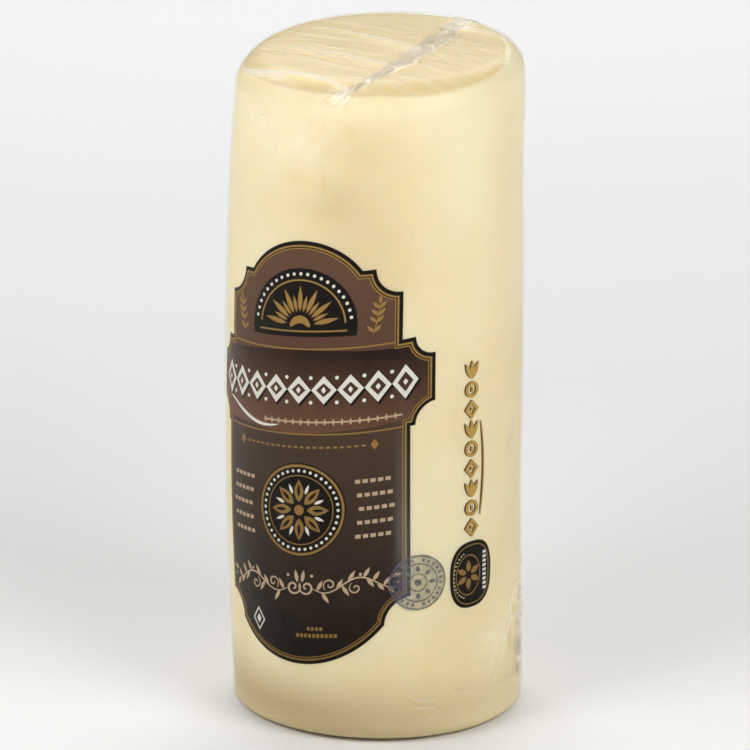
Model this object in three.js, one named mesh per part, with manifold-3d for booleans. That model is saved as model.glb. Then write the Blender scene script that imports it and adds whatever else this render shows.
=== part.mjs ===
// A whole provolone: a log of cheese standing on one end, shrink-wrapped in a clear film bag. The bag's end
// seal lies across the top as a flat crumpled fold, pulled tight by ridges in the film, and the seal of the
// other end shows as an ear folded up the side near the base. Print on the film is a tall brown label at the
// front, with a round medallion and a chain of pale lozenges let into it, and a gold strip over a dark badge
// beside it.
//
// Millimetres, +Z up. The origin is the centre of the flat base, and the middle of the label faces -Y.
// Angles are round the Z axis, counted from +X towards +Y.
//
// Everything follows one surface, the skin of the log. A spot on it has two coordinates: its angle, and its
// travel, the length of the way from the middle of the top out over the rim and down the side.

import * as THREE from "three";
import { mergeVertices } from "three/addons/utils/BufferGeometryUtils.js";
import Module from "manifold-3d";

const wasm = await Module();
wasm.setup();

// Log
const LOG_RADIUS = 71; // nominal: lengths round the log are counted at it
const LOG_HEIGHT = 330;
const SIDE_RADIUS = { foot: 70.4, middle: 71.4, top: 68.6 };
const FULL_SIDE = degrees(30); // the side that stands tallest and has the crisper rim
const LEAN = { foot: 0, middle: -1.8, top: 1.4 }; // how far each level is shifted towards the full side
const TOP_ROUND = { full: 11, soft: 18.2 }; // radius of the rim, on the full side and opposite it
const WORN_SIDE = degrees(-64); // the side where the foot is roundest
const FOOT_ROUND = { crisp: 3, worn: 12 };
const TOP_TILT = 0.9; // how far the top rises at its full side, and falls opposite
const TOP_DOME = 1.4;
const UNEVEN = [
  // low swells of the side: height, waves round, waves from top to base, and start
  { height: 0.25, round: 2, along: 1.3, start: 0.7 },
  { height: 0.2, round: 3, along: 2.5, start: 1.9 },
];
const LOG_SIDES = 60;

// Folds and ridges of the film
const SEAM = {
  front: { x: 19.5, y: -72 }, // where the top's seal meets the rim, seen from above
  back: { x: 9.5, y: 71 },
  bow: 12, // how far its middle strays to the right of a straight line
  frontHang: 6, // how far it runs on down the side
  backHang: 6,
  frontHalf: 2, // half its width
  backHalf: 4.4,
  rise: 1.5,
  taper: 3, // steps over which it grows from nothing at each end
  steps: 46,
};
const CRUMPLE = {
  // how the seam wanders, swells and lifts as it goes, each in waves from end to end
  sway: { height: 0.8, waves: 6.5 },
  swell: { height: 0.25, waves: 3.7 },
  lift: { height: 0.35, waves: 4.9 },
};
const SINK = 0.9; // how deep folds and ridges are let into the log
const SHOULDER = { out: 0.62, up: 0.64 }; // where a fold's outline turns, in shares of half-width and rise
const RIDGES = [
  // from the seal out towards the rim: place along the seal, reach, drift along the seal, rise, half-width
  { at: -61, reach: -68, drift: 17, rise: 1.1, half: 1.8 },
  { at: -33, reach: -80, drift: 13, rise: 1.3, half: 2.0 },
  { at: 3, reach: -70, drift: 13, rise: 1.2, half: 1.9 },
  { at: -17, reach: 36, drift: -6, rise: 0.9, half: 1.7 },
  { at: 42, reach: 30, drift: -5, rise: 0.8, half: 1.6 },
];
const RIDGE_STEPS = 13;
const EAR = { angle: degrees(19), foot: 13, top: 62, half: 10.5, tip: 2.6, rise: 2.4, steps: 15 };

// Print
const PRINT_LIFT = 0.3; // gap to the film, and between one field of print and the next
const PRINT_THICKNESS = 0.4;
const CUT_SPARE = 1; // how far the tool that cuts an inlay's place runs past the print each way
// Where a ground of print has its middle, and how much its rows rise to the right for each length round.
const LABEL_GROUND = { about: degrees(-90), slope: 0.135 };
const SIDE_GROUND = { about: degrees(-19), slope: 0 };
const LABEL = {
  top: 254, // the crown of its arch
  foot: 39.5,
  upperHalf: 50.5, // half its width above the belt
  lowerHalf: 54.5,
  arch: { half: 31, rise: 16 }, // over the middle of its upper edge
  lobe: { half: 41, rise: 18 }, // under the middle of its lower edge
  scoop: 13, // radius of its scooped corners
};
const BELT = { middle: 179, height: 44, width: 134, scoop: 10, flare: 4 }; // flare: where it leaves the label
const LOZENGES = { middle: 180, count: 9, width: 117, tallest: 18, least: 14, waist: 2 };
const MEDALLION = { middle: 119, radius: 24 };
const STRIP = { middle: 147, height: 90, width: 9 };
const BADGE = { middle: 83, height: 34, width: 26 };
const PRINT_ROW = 20; // tallest facet of a field of print

const COLOURS = {
  film: { color: 0xf1e2b6, roughness: 0.25, metalness: 0 },
  brown: { color: 0x4a3730, roughness: 0.35, metalness: 0 },
  gold: { color: 0xb08a4a, roughness: 0.35, metalness: 0 },
  cream: { color: 0xe4e0d2, roughness: 0.35, metalness: 0 },
  black: { color: 0x1c1a18, roughness: 0.35, metalness: 0 },
};

function degrees(value) {
  return (value * Math.PI) / 180;
}

function mix(a, b, share) {
  return a + (b - a) * share;
}

function range(count, make) {
  return Array.from({ length: count }, (_, i) => make(i, count > 1 ? i / (count - 1) : 0));
}

// ---- The skin of the log ----

// The value at a share of the height, on a smooth curve through those at the foot, the middle and the top.
function level(values, share) {
  const fromFoot = values.foot * (1 - share) * (1 - 2 * share);
  return fromFoot + 4 * values.middle * share * (1 - share) + values.top * share * (2 * share - 1);
}

// The roundings of the rim and the foot, and the travel at which each stretch of the outline ends.
function outlineAt(angle) {
  const rim = mix(TOP_ROUND.soft, TOP_ROUND.full, 0.5 + 0.5 * Math.cos(angle - FULL_SIDE));
  const foot = mix(FOOT_ROUND.crisp, FOOT_ROUND.worn, Math.max(0, Math.cos(angle - WORN_SIDE)) ** 2);
  const topEnd = LOG_RADIUS - rim;
  const rimEnd = topEnd + (rim * Math.PI) / 2;
  const wallEnd = rimEnd + LOG_HEIGHT - rim - foot;
  const footEnd = wallEnd + (foot * Math.PI) / 2;
  return { rim, foot, topEnd, rimEnd, wallEnd, footEnd };
}

// The even outline before any lean or swelling: distance from the axis, height, and the way it faces.
function evenSpot(angle, travel) {
  const line = outlineAt(angle);
  if (travel <= line.topEnd) return { r: travel, z: LOG_HEIGHT, outward: 0, upward: 1 };
  if (travel <= line.rimEnd) {
    const turn = (travel - line.topEnd) / line.rim;
    const r = line.topEnd + line.rim * Math.sin(turn);
    const z = LOG_HEIGHT - line.rim * (1 - Math.cos(turn));
    return { r, z, outward: Math.sin(turn), upward: Math.cos(turn) };
  }
  if (travel <= line.wallEnd) {
    const z = LOG_HEIGHT - line.rim - (travel - line.rimEnd);
    return { r: LOG_RADIUS, z, outward: 1, upward: 0 };
  }
  if (travel <= line.footEnd) {
    const turn = (travel - line.wallEnd) / line.foot;
    const r = LOG_RADIUS - line.foot * (1 - Math.cos(turn));
    const z = line.foot * (1 - Math.sin(turn));
    return { r, z, outward: Math.cos(turn), upward: -Math.sin(turn) };
  }
  const r = LOG_RADIUS - line.foot - (travel - line.footEnd);
  return { r, z: 0, outward: 0, upward: -1 };
}

function swelling(angle, z) {
  const share = z / LOG_HEIGHT;
  const swells = UNEVEN.map(
    (w) => w.height * Math.cos(w.round * angle + 2 * Math.PI * w.along * share + w.start),
  );
  return swells.reduce((sum, h) => sum + h, 0);
}

// The point at an angle and a travel, lifted off the skin by lift.
function skin(angle, travel, lift = 0) {
  const spot = evenSpot(angle, travel);
  const share = spot.z / LOG_HEIGHT;
  const outness = spot.r / LOG_RADIUS;
  const swell = level(SIDE_RADIUS, share) - LOG_RADIUS + swelling(angle, spot.z);
  const r = spot.r + outness * swell + lift * spot.outward;
  const lean = level(LEAN, share);
  const x = r * Math.cos(angle) + lean * Math.cos(FULL_SIDE);
  const y = r * Math.sin(angle) + lean * Math.sin(FULL_SIDE);
  const tilt = TOP_TILT * outness * Math.cos(angle - FULL_SIDE) * share ** 4;
  const dome = TOP_DOME * (1 - outness ** 2) * share ** 4;
  return new THREE.Vector3(x, y, spot.z + tilt + dome + lift * spot.upward);
}

// The same for a place on the top seen from above. Past the rim it runs on down the side.
function topSkin(x, y, lift) {
  return skin(Math.atan2(y, x), Math.hypot(x, y), lift);
}

// The same for a place on the side: round is the length from the angle about, and z the height.
function sideSkin(about, round, z, lift) {
  const angle = about + round / LOG_RADIUS;
  const line = outlineAt(angle);
  return skin(angle, line.rimEnd + LOG_HEIGHT - line.rim - z, lift);
}

// ---- Making solids ----

// A closed solid through rings of points. Every ring has as many points as the next, first along one side
// and then back along the other, so that a strip of triangles closes each end.
function loft(rings) {
  const count = rings[0].length;
  const positions = rings.flat().flatMap((p) => [p.x, p.y, p.z]);
  const faces = [];
  for (let row = 0; row + 1 < rings.length; row++) {
    for (let i = 0; i < count; i++) {
      const a = row * count + i;
      const b = row * count + ((i + 1) % count);
      faces.push(a, b, b + count, a, b + count, a + count);
    }
  }
  const last = (rings.length - 1) * count;
  for (let i = 0; i + 1 < count / 2; i++) {
    const [a, b, c, d] = [i, i + 1, count - 2 - i, count - 1 - i];
    faces.push(a, c, b, a, d, c);
    faces.push(last + a, last + b, last + c, last + a, last + c, last + d);
  }
  const geometry = new THREE.BufferGeometry();
  geometry.setAttribute("position", new THREE.Float32BufferAttribute(positions, 3));
  geometry.setIndex(faces);
  return geometry;
}

function toSolid(geometry) {
  const merged = mergeVertices(geometry, 1e-4);
  return new wasm.Manifold(
    new wasm.Mesh({
      numProp: 3,
      vertProperties: merged.attributes.position.array,
      triVerts: new Uint32Array(merged.index.array),
    }),
  );
}

function toGeometry(solid) {
  const made = solid.getMesh();
  const geometry = new THREE.BufferGeometry();
  geometry.setAttribute("position", new THREE.BufferAttribute(made.vertProperties, 3));
  geometry.setIndex(new THREE.BufferAttribute(made.triVerts, 1));
  geometry.computeVertexNormals();
  return geometry;
}

function part(name, geometry, colour) {
  const mesh = new THREE.Mesh(geometry, new THREE.MeshStandardMaterial(COLOURS[colour]));
  mesh.name = name;
  return mesh;
}

// ---- The wrapped log ----

// The travels of the rings of the log at an angle: few on the flats, close together round rim and foot.
function ringTravels(angle) {
  const line = outlineAt(angle);
  return [
    ...range(3, (_, t) => line.topEnd * mix(0.4, 1, t)),
    ...range(5, (i) => mix(line.topEnd, line.rimEnd, (i + 1) / 5)),
    ...range(15, (i) => mix(line.rimEnd, line.wallEnd, (i + 1) / 15)),
    ...range(5, (i) => mix(line.wallEnd, line.footEnd, (i + 1) / 5)),
  ];
}

// The cap strips run across a ring, so its points are in one loop that starts on +X.
function logSolid() {
  const columns = range(LOG_SIDES, (i) => {
    const angle = (2 * Math.PI * i) / LOG_SIDES;
    return ringTravels(angle).map((travel) => skin(angle, travel));
  });
  const rings = columns[0].map((_, row) => columns.map((column) => column[row]));
  return toSolid(loft(rings.reverse()));
}

// A fold or ridge: rings of six points that follow a line of spots. place(spot, left, lift) is a point
// to the left of the line, seen from outside. The outline is a low hump with its crest off-centre by lean.
function hump(spots, place, lean = 0) {
  return loft(
    spots.map((s) => [
      place(s, s.half, -SINK),
      place(s, s.half * SHOULDER.out, s.rise * SHOULDER.up),
      place(s, s.half * lean, s.rise),
      place(s, -s.half * SHOULDER.out, s.rise * SHOULDER.up),
      place(s, -s.half, -SINK),
      place(s, 0, -SINK),
    ]),
  );
}

function wave(shape, t) {
  return shape.height * Math.sin(2 * Math.PI * shape.waves * t);
}

// From 0 at either end of a row of steps to 1 within taper steps.
function endTaper(i, steps, taper) {
  return Math.min(1, Math.min(i, steps - 1 - i) / taper);
}

function seamFrame() {
  const front = new THREE.Vector2(SEAM.front.x, SEAM.front.y);
  const along = new THREE.Vector2(SEAM.back.x, SEAM.back.y).sub(front);
  const length = along.length();
  along.normalize();
  return { front, along, across: new THREE.Vector2(along.y, -along.x), length };
}

// A place on the top from its distance along the seal, counted from mid-way, and its distance to the right
// of it.
function besideSeam(along, across, lift) {
  const seam = seamFrame();
  const x = seam.front.x + seam.along.x * (along + seam.length / 2) + seam.across.x * across;
  const y = seam.front.y + seam.along.y * (along + seam.length / 2) + seam.across.y * across;
  return topSkin(x, y, lift);
}

// How far the seal bows to the right of a straight line at a distance along it.
function bowAt(along) {
  return SEAM.bow * Math.sin(Math.PI * (along / seamFrame().length + 0.5));
}

// The flattened seal of the bag, which sways and swells as it crosses the top and hangs over both rims.
function seamFold() {
  const middle = seamFrame().length / 2;
  const spots = range(SEAM.steps, (i, t) => {
    const grown = endTaper(i, SEAM.steps, SEAM.taper);
    const along = mix(-middle - SEAM.frontHang, middle + SEAM.backHang, t);
    return {
      along,
      sway: bowAt(along) + wave(CRUMPLE.sway, t),
      half: mix(1, mix(SEAM.frontHalf, SEAM.backHalf, t) * (1 + wave(CRUMPLE.swell, t)), grown),
      rise: mix(0.3, SEAM.rise * (1 + wave(CRUMPLE.lift, t)), grown),
    };
  });
  return hump(spots, (s, left, lift) => besideSeam(s.along, s.sway - left, lift), 0.3);
}

// A ridge of tight film that runs from the seal towards the rim and dies away.
function pullRidge(ridge) {
  const spots = range(RIDGE_STEPS, (_, t) => ({
    along: ridge.at + ridge.drift * t ** 1.6,
    across: bowAt(ridge.at) + ridge.reach * t,
    half: ridge.half * mix(1, 0.55, t),
    rise: ridge.rise * mix(1, 0.2, t),
  }));
  const side = Math.sign(ridge.reach);
  return hump(spots, (s, left, lift) => besideSeam(s.along + side * left, s.across, lift));
}

// The ear of the lower seal, folded up against the side: widest and thickest low down.
function ear() {
  const spots = range(EAR.steps, (i, t) => ({
    z: mix(EAR.foot, EAR.top, t),
    half: mix(EAR.tip, EAR.half, Math.sin(Math.PI * t ** 0.7)) * (1 + 0.12 * Math.sin(25 * t)),
    rise: mix(0.4, EAR.rise * (1 - 0.45 * t), endTaper(i, EAR.steps, 2)),
  }));
  return hump(spots, (s, left, lift) => sideSkin(EAR.angle, -left, s.z, lift), 0.25);
}

function wrappedLog() {
  const folds = [seamFold(), ...RIDGES.map(pullRidge), ear()];
  const made = folds.map(toSolid).reduce((whole, fold) => whole.add(fold), logSolid());
  return part("film_bag", toGeometry(made), "film");
}

// ---- Print ----

// A field of print bent round the log, made of upright columns at the lengths in rounds from the middle of
// its ground. span(round) gives the lowest and highest point of the field there. spare is how much thicker
// it is than print each way, where it only cuts.
function printSolid(ground, rounds, span, spare = 0) {
  const inner = PRINT_LIFT - spare;
  const outer = PRINT_LIFT + PRINT_THICKNESS + spare;
  const tallest = Math.max(...rounds.map((round) => span(round)[1] - span(round)[0]));
  const rows = Math.ceil(tallest / PRINT_ROW) + 1;
  return toSolid(
    loft(
      rounds.map((round) => {
        const [low, high] = span(round);
        const heights = range(rows, (_, t) => mix(low, high, t) + ground.slope * round);
        return [
          ...heights.map((z) => sideSkin(ground.about, round, z, inner)),
          ...heights.reverse().map((z) => sideSkin(ground.about, round, z, outer)),
        ];
      }),
    ),
  );
}

// Lengths from low to high that crowd towards both ends, where a rounded outline turns fastest.
function eased(low, high, count) {
  return range(count, (_, t) => mix(low, high, 0.5 - 0.5 * Math.cos(Math.PI * t)));
}

// The span of a field as high as halfHeight each way from middle, with ends from round, at a power of 2,
// to nearly square.
function roundSpan(middle, halfHeight, halfWidth, power) {
  return (round) => {
    const share = Math.min(0.999, Math.abs(round) / halfWidth);
    const rise = halfHeight * (1 - share ** power) ** (1 / power);
    return [middle - rise, middle + rise];
  };
}

// How far a round arch stands proud of its chord, at a length off from its middle.
function archAt(off, arch) {
  const radius = (arch.half ** 2 + arch.rise ** 2) / (2 * arch.rise);
  return off < arch.half ? Math.sqrt(radius ** 2 - off ** 2) - radius + arch.rise : 0;
}

// How far the scoop out of a field's corner cuts into its edge, at a length off from the field's middle.
function scoopAt(off, half, radius) {
  return Math.sqrt(Math.max(0, radius ** 2 - Math.max(0, half - off) ** 2));
}

// How far the label reaches above or below the middle of its belt, at a length off from its own middle. It
// is arched and scooped within half, and past that it flares down to the belt.
function labelReach(off, half, arch, most) {
  const within = Math.min(off, half);
  const reach = most - arch.rise + archAt(within, arch) - scoopAt(within, half, LABEL.scoop);
  const belt = BELT.height / 2 - scoopAt(off, BELT.width / 2, BELT.scoop);
  const flared = Math.min(1, Math.max(0, 1 - (off - half) / BELT.flare)) ** 2.5;
  return mix(belt, reach, flared);
}

function labelSpan(round) {
  const off = Math.abs(round);
  const fall = labelReach(off, LABEL.lowerHalf, LABEL.lobe, BELT.middle - LABEL.foot);
  const rise = labelReach(off, LABEL.upperHalf, LABEL.arch, LABEL.top - BELT.middle);
  return [BELT.middle - fall, BELT.middle + rise];
}

function labelRounds() {
  const flare = (half) => range(4, (i) => half + BELT.flare * ((i + 1) / 4) ** 1.6);
  const right = [
    ...range(6, (i) => (LABEL.arch.half * (i + 1)) / 6),
    ...eased(LABEL.arch.half, LABEL.upperHalf, 6).slice(1),
    ...flare(LABEL.upperHalf),
    ...flare(LABEL.lowerHalf),
    ...eased(LABEL.lowerHalf + BELT.flare, BELT.width / 2, 6).slice(1),
  ];
  return [...right.map((round) => -round).reverse(), 0, ...right];
}

function medallionSolid(gap = 0, spare = 0) {
  const radius = MEDALLION.radius + gap;
  const span = roundSpan(MEDALLION.middle, radius, radius, 2);
  return printSolid(LABEL_GROUND, eased(-radius, radius, 19), span, spare);
}

// A chain of lozenges point to point, taller towards the ends of the belt.
function lozengeSolid(gap = 0, spare = 0) {
  const { middle, count, width, tallest, least, waist } = LOZENGES;
  const span = (round) => {
    const place = (Math.abs(round) / width) * 2;
    const link = Math.abs(((round / width + 0.5) * count) % 1) * 2;
    const fullness = 1 - Math.abs(link - 1);
    const rise = mix(waist, mix(least, tallest, place ** 2), fullness) / 2 + gap;
    return [middle - rise, middle + rise];
  };
  const rounds = range(count * 4 + 1, (_, t) => mix(-width / 2, width / 2, t));
  const padded = gap ? [-width / 2 - gap, ...rounds.slice(1, -1), width / 2 + gap] : rounds;
  return printSolid(LABEL_GROUND, padded, span, spare);
}

function label() {
  const panel = printSolid(LABEL_GROUND, labelRounds(), labelSpan);
  const inlays = medallionSolid(PRINT_LIFT, CUT_SPARE).add(lozengeSolid(PRINT_LIFT, CUT_SPARE));
  return part("label_panel", toGeometry(panel.subtract(inlays)), "brown");
}

// A small field of print beside the label.
function sideField(name, field, power, colour) {
  const half = field.width / 2;
  const span = roundSpan(field.middle, field.height / 2, half, power);
  return part(name, toGeometry(printSolid(SIDE_GROUND, eased(-half, half, 9), span)), colour);
}

const provolone = new THREE.Group();
provolone.name = "provolone_cheese";
provolone.add(
  wrappedLog(),
  label(),
  part("label_medallion", toGeometry(medallionSolid()), "gold"),
  part("label_lozenges", toGeometry(lozengeSolid()), "cream"),
  sideField("side_strip", STRIP, 6, "gold"),
  sideField("side_badge", BADGE, 2.6, "black"),
);

export default provolone;
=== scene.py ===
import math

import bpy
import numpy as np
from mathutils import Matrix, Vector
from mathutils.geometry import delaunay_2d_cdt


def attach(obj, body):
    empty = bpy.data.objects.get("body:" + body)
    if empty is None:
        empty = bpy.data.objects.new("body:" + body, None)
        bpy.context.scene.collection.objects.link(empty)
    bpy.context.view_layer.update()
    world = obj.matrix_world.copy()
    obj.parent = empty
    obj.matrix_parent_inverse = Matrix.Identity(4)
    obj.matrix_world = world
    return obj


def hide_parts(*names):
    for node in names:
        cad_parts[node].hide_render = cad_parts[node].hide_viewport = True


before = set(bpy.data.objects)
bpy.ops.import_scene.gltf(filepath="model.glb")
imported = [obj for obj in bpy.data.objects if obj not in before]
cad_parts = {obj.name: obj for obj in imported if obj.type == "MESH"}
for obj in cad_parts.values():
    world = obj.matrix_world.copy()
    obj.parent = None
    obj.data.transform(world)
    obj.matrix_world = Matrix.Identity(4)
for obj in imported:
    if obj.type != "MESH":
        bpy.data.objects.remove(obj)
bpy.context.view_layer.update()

# The looks of a whole provolone: a pale log of cheese under tight clear film, with the crumpled seal of the
# bag across the top, the ear of the other seal low on one side, and print on the film.
#
# Sizes are in millimetres until a mesh is made. A spot on the log's skin has an angle, counted from +X
# towards +Y, and a travel, the length of the way from the middle of the top out over the rim and down the
# side. A place in the print is a length round the log from the middle of the label, to the right, and a
# height. Thickness is told by lift, the height over the skin.

MM = 0.001
FULL_TURN = 2 * math.pi

# The log, as in the solids
LOG_RADIUS = 71.0
LOG_HEIGHT = 330.0
SIDE_RADIUS = (70.4, 71.4, 68.6)  # at the foot, the middle and the top
LEAN = (0.0, -1.8, 1.4)  # how far each level is shifted towards the full side
FULL_SIDE = math.radians(30)
WORN_SIDE = math.radians(-64)
SOFT_RIM, FULL_RIM = 18.2, 11.0
CRISP_FOOT, WORN_FOOT = 3.0, 12.0
TOP_TILT, TOP_DOME = 0.9, 1.4
SWELLS = ((0.25, 2, 1.3, 0.7), (0.2, 3, 2.5, 1.9))  # height, waves round, waves up, start

# The seal across the top, seen from above
SEAM_FRONT = np.array([19.5, -72.0])
SEAM_BACK = np.array([9.5, 71.0])
SEAM_LENGTH = float(np.linalg.norm(SEAM_BACK - SEAM_FRONT))
SEAM_WAY = (SEAM_BACK - SEAM_FRONT) / SEAM_LENGTH
SEAM_RIGHT = np.array([SEAM_WAY[1], -SEAM_WAY[0]])
SEAM_BOW = (8.8, 0.0, 80.0)  # how far it bows to the right, where along it, and half its span
SEAM_TURN = (7.5, -71.0, -53.0)  # how far its front end turns off to the left, and between which places
SEAM_BACK_HANG = 6.0  # how far its back end hangs down over the rim
SEAM_SWAY = (0.6, 6.5)  # height and waves
SEAL_HALF = (2.6, 6.8)  # half its width in front and behind
SEAL_FAN = (3.0, 8.0, 5.0)  # its fan of pleats: from the front end, reach, and what half the width gains
SEAL_GRID = (430, 61)  # points along it and across it

# The ear of the lower seal, on the side
EAR_ANGLE = math.radians(19)
EAR_FOOT, EAR_TOP = 13.0, 62.0
EAR_HALF, EAR_TIP = 10.5, 2.6
EAR_GRID = (200, 61)

# Lifts: cheese, then print in thin layers, then film
CHEESE_LIFT = -0.35
PRINT_BASE = -0.25
PRINT_LAYER = 0.1
PRINT_THICKNESS = 0.06
FILM_LIFT = 0.55
DEEPEST_DENT = -0.75  # in the film, from its own lift
FILM_VEIL, FILM_WHITENING = 0.005, 0.75  # how hazy the film is where it is flat, and what white adds
FOLD_UNDER, FOLD_LEAST = 0.35, 0.45  # the underside of folded film, and the least of its outside

# Print. A ground has the angle of its middle, and how much its rows rise to the right for each length.
FRONT = math.radians(-90)
LABEL_GROUND = (FRONT, 0.135)
STAMP_GROUND = (FRONT, 0.0)
SIDE_GROUND = (math.radians(-19), 0.0)
LABEL_TOP, LABEL_FOOT = 254.0, 39.5
UPPER_HALF, LOWER_HALF = 50.5, 54.5  # half the label's width above and below the belt
LABEL_SCOOP = 13.0
BORDER = 4.0  # the width of the label's dark border with its gold lines
ARCH_HALF, ARCH_RISE = 31.0, 16.0
LOBE_HALF, LOBE_RISE = 41.0, 18.0
BELT_MIDDLE, BELT_HALF_HEIGHT, BELT_HALF, BELT_SCOOP = 179.0, 22.0, 67.0, 10.0
BELT_TOP, BELT_FOOT = BELT_MIDDLE + BELT_HALF_HEIGHT, BELT_MIDDLE - BELT_HALF_HEIGHT
CROWN, CROWN_RADIUS = np.array([0.0, 211.5]), 29.0  # the dark panel under the arch
SPRIG_OUT, SPRIG_FOOT, SPRIG_HEIGHT = 36.5, 206.0, 15.0
BELT_ROW, UNDER_ROW, GARLAND_MIDDLE = 163.8, 151.0, 80.0  # heights of rows of ornament
SMALL_DIAMOND = (-27.0, 60.0)
LOZENGE_MIDDLE, LOZENGE_COUNT, LOZENGE_SPAN = 180.0, 9, 117.0
LOZENGE_TALLEST, LOZENGE_LEAST = 18.0, 14.0
MEDALLION = np.array([0.0, 119.0])
MEDALLION_RADIUS = 24.0
STRIP_MIDDLE, STRIP_HEIGHT, STRIP_COUNT = 147.0, 90.0, 9
BADGE = np.array([0.0, 83.0])
BADGE_HALF, BADGE_HALF_HEIGHT, BADGE_SQUASH = 13.0, 17.0, 0.72
BADGE_EYE = BADGE + np.array([-2.2, 0.0])  # the middle of its flower
STAMP = np.array([58.0, 84.5])
STAMP_RADIUS, STAMP_TICKS = 14.2, 26

# Camera: where the photograph shows the middle of the log, and how many pixels it gives to a millimetre
IMAGE_SIZE = 750
LOG_MIDDLE_SHOWN = (377.8, 374.8)
PIXELS_PER_MM = 2.07
CAMERA_AZIMUTH = math.radians(30)
CAMERA_ELEVATION = math.radians(20.0)
CAMERA_DISTANCE = 3000.0
SENSOR = 36.0

# Stage, in metres: a disc of floor just under the object, and how bright the world is as light and as seen
FLOOR_RADIUS, FLOOR_SIDES, FLOOR_DROP = 1.9, 96, 0.00005
WORLD_LIGHT, WORLD_SEEN = 0.05, 0.9

NOISE_CELLS = 64  # the noise repeats after so many cells, where no wrap is given


def mix(a, b, share):
    return a + (b - a) * share


def smooth(low, high, value):
    """From 0 at low to 1 at high, levelled out at both."""
    t = np.clip((value - low) / (high - low), 0, 1)
    return t * t * (3 - 2 * t)


def bell(distance, width):
    return np.exp(-((distance / width) ** 2))


def turns(count):
    """Angles evenly round a circle."""
    return np.linspace(0, FULL_TURN, count, endpoint=False)


def patch(u, v, place, height, half, half_height, slope=0.0):
    """A soft oval spot, which may rise with u."""
    off = u - place
    return bell(off, half) * bell(v - height - slope * off, half_height)


def run_out(share, start, span=0.84):
    """The strength along a ridge, which dies away towards its ends."""
    return np.sin(math.pi * (start + span * share)) ** 0.5


def soft_noise(u, v, seed, wrap=NOISE_CELLS):
    """Smooth noise from -1 to 1 with about one swell to each unit. It repeats after wrap units of u."""
    lattice = np.random.default_rng(seed).uniform(-1, 1, (wrap, NOISE_CELLS))
    column, row = np.floor(u).astype(int), np.floor(v).astype(int)
    s, t = u - column, v - row
    s, t = s * s * (3 - 2 * s), t * t * (3 - 2 * t)

    def at(i, j):
        return lattice[(column + i) % wrap, (row + j) % NOISE_CELLS]

    return mix(mix(at(0, 0), at(1, 0), s), mix(at(0, 1), at(1, 1), s), t)


def creases(u, v, seed):
    """Noise with sharp crests, from -1 to 1."""
    return 1 - 2 * np.abs(soft_noise(u, v, seed))


def path_distance(u, v, path):
    """The distance from each point to a broken line, and the share of its length at the nearest spot."""
    path = np.asarray(path, float)
    lengths = np.linalg.norm(np.diff(path, axis=0), axis=1)
    passed = np.concatenate([[0], np.cumsum(lengths)])
    nearest = np.full(np.shape(u), np.inf)
    share = np.zeros(np.shape(u))
    for start, end, length, before in zip(path[:-1], path[1:], lengths, passed):
        way = (end - start) / length
        t = np.clip((u - start[0]) * way[0] + (v - start[1]) * way[1], 0, length)
        distance = np.hypot(u - start[0] - t * way[0], v - start[1] - t * way[1])
        closer = distance < nearest
        nearest = np.where(closer, distance, nearest)
        share = np.where(closer, (before + t) / passed[-1], share)
    return nearest, share


# ---- The skin of the log ----


def level(values, share):
    """A value at a share of the height, from those at the foot, the middle and the top."""
    foot, middle, top = values
    from_foot = foot * (1 - share) * (1 - 2 * share)
    return from_foot + 4 * middle * share * (1 - share) + top * share * (2 * share - 1)


def outline_at(angle):
    """The roundings of rim and foot, and the travel at which the top, rim, wall and foot end."""
    rim = mix(SOFT_RIM, FULL_RIM, 0.5 + 0.5 * np.cos(angle - FULL_SIDE))
    foot = mix(CRISP_FOOT, WORN_FOOT, np.maximum(0, np.cos(angle - WORN_SIDE)) ** 2)
    top_end = LOG_RADIUS - rim
    rim_end = top_end + rim * math.pi / 2
    wall_end = rim_end + LOG_HEIGHT - rim - foot
    return rim, foot, top_end, rim_end, wall_end, wall_end + foot * math.pi / 2


def even_spot(angle, travel):
    """Distance from the axis, height, and how much the skin faces outward and upward."""
    rim, foot, top_end, rim_end, wall_end, foot_end = outline_at(angle)
    rim_turn = np.clip((travel - top_end) / rim, 0, math.pi / 2)
    foot_turn = np.clip((travel - wall_end) / foot, 0, math.pi / 2)
    wall = np.clip(travel - rim_end, 0, LOG_HEIGHT - rim - foot)
    base = np.maximum(0, travel - foot_end)
    r = np.minimum(travel, top_end) + rim * np.sin(rim_turn) - foot * (1 - np.cos(foot_turn)) - base
    z = LOG_HEIGHT - rim * (1 - np.cos(rim_turn)) - wall - foot * np.sin(foot_turn)
    return r, z, np.sin(rim_turn) * np.cos(foot_turn), np.cos(rim_turn) - np.sin(foot_turn)


def skin(angle, travel, lift):
    """Points over the log's skin."""
    r, z, outward, upward = even_spot(angle, travel)
    share = z / LOG_HEIGHT
    outness = r / LOG_RADIUS
    swell = level(SIDE_RADIUS, share) - LOG_RADIUS
    for height, waves, along, start in SWELLS:
        swell = swell + height * np.cos(waves * angle + FULL_TURN * along * share + start)
    radius = r + outness * swell + lift * outward
    lean = level(LEAN, share)
    x = radius * np.cos(angle) + lean * math.cos(FULL_SIDE)
    y = radius * np.sin(angle) + lean * math.sin(FULL_SIDE)
    tilt = TOP_TILT * outness * np.cos(angle - FULL_SIDE) * share**4
    dome = TOP_DOME * (1 - outness**2) * share**4
    return np.stack([x, y, np.maximum(0, z + tilt + dome + lift * upward)], axis=-1)


def side_skin(about, places, lift):
    """Points over places on the side: lengths round the log from the angle about, and heights."""
    angle = about + places[..., 0] / LOG_RADIUS
    rim, _, _, rim_end, _, _ = outline_at(angle)
    return skin(angle, rim_end + LOG_HEIGHT - rim - places[..., 1], lift)


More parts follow.
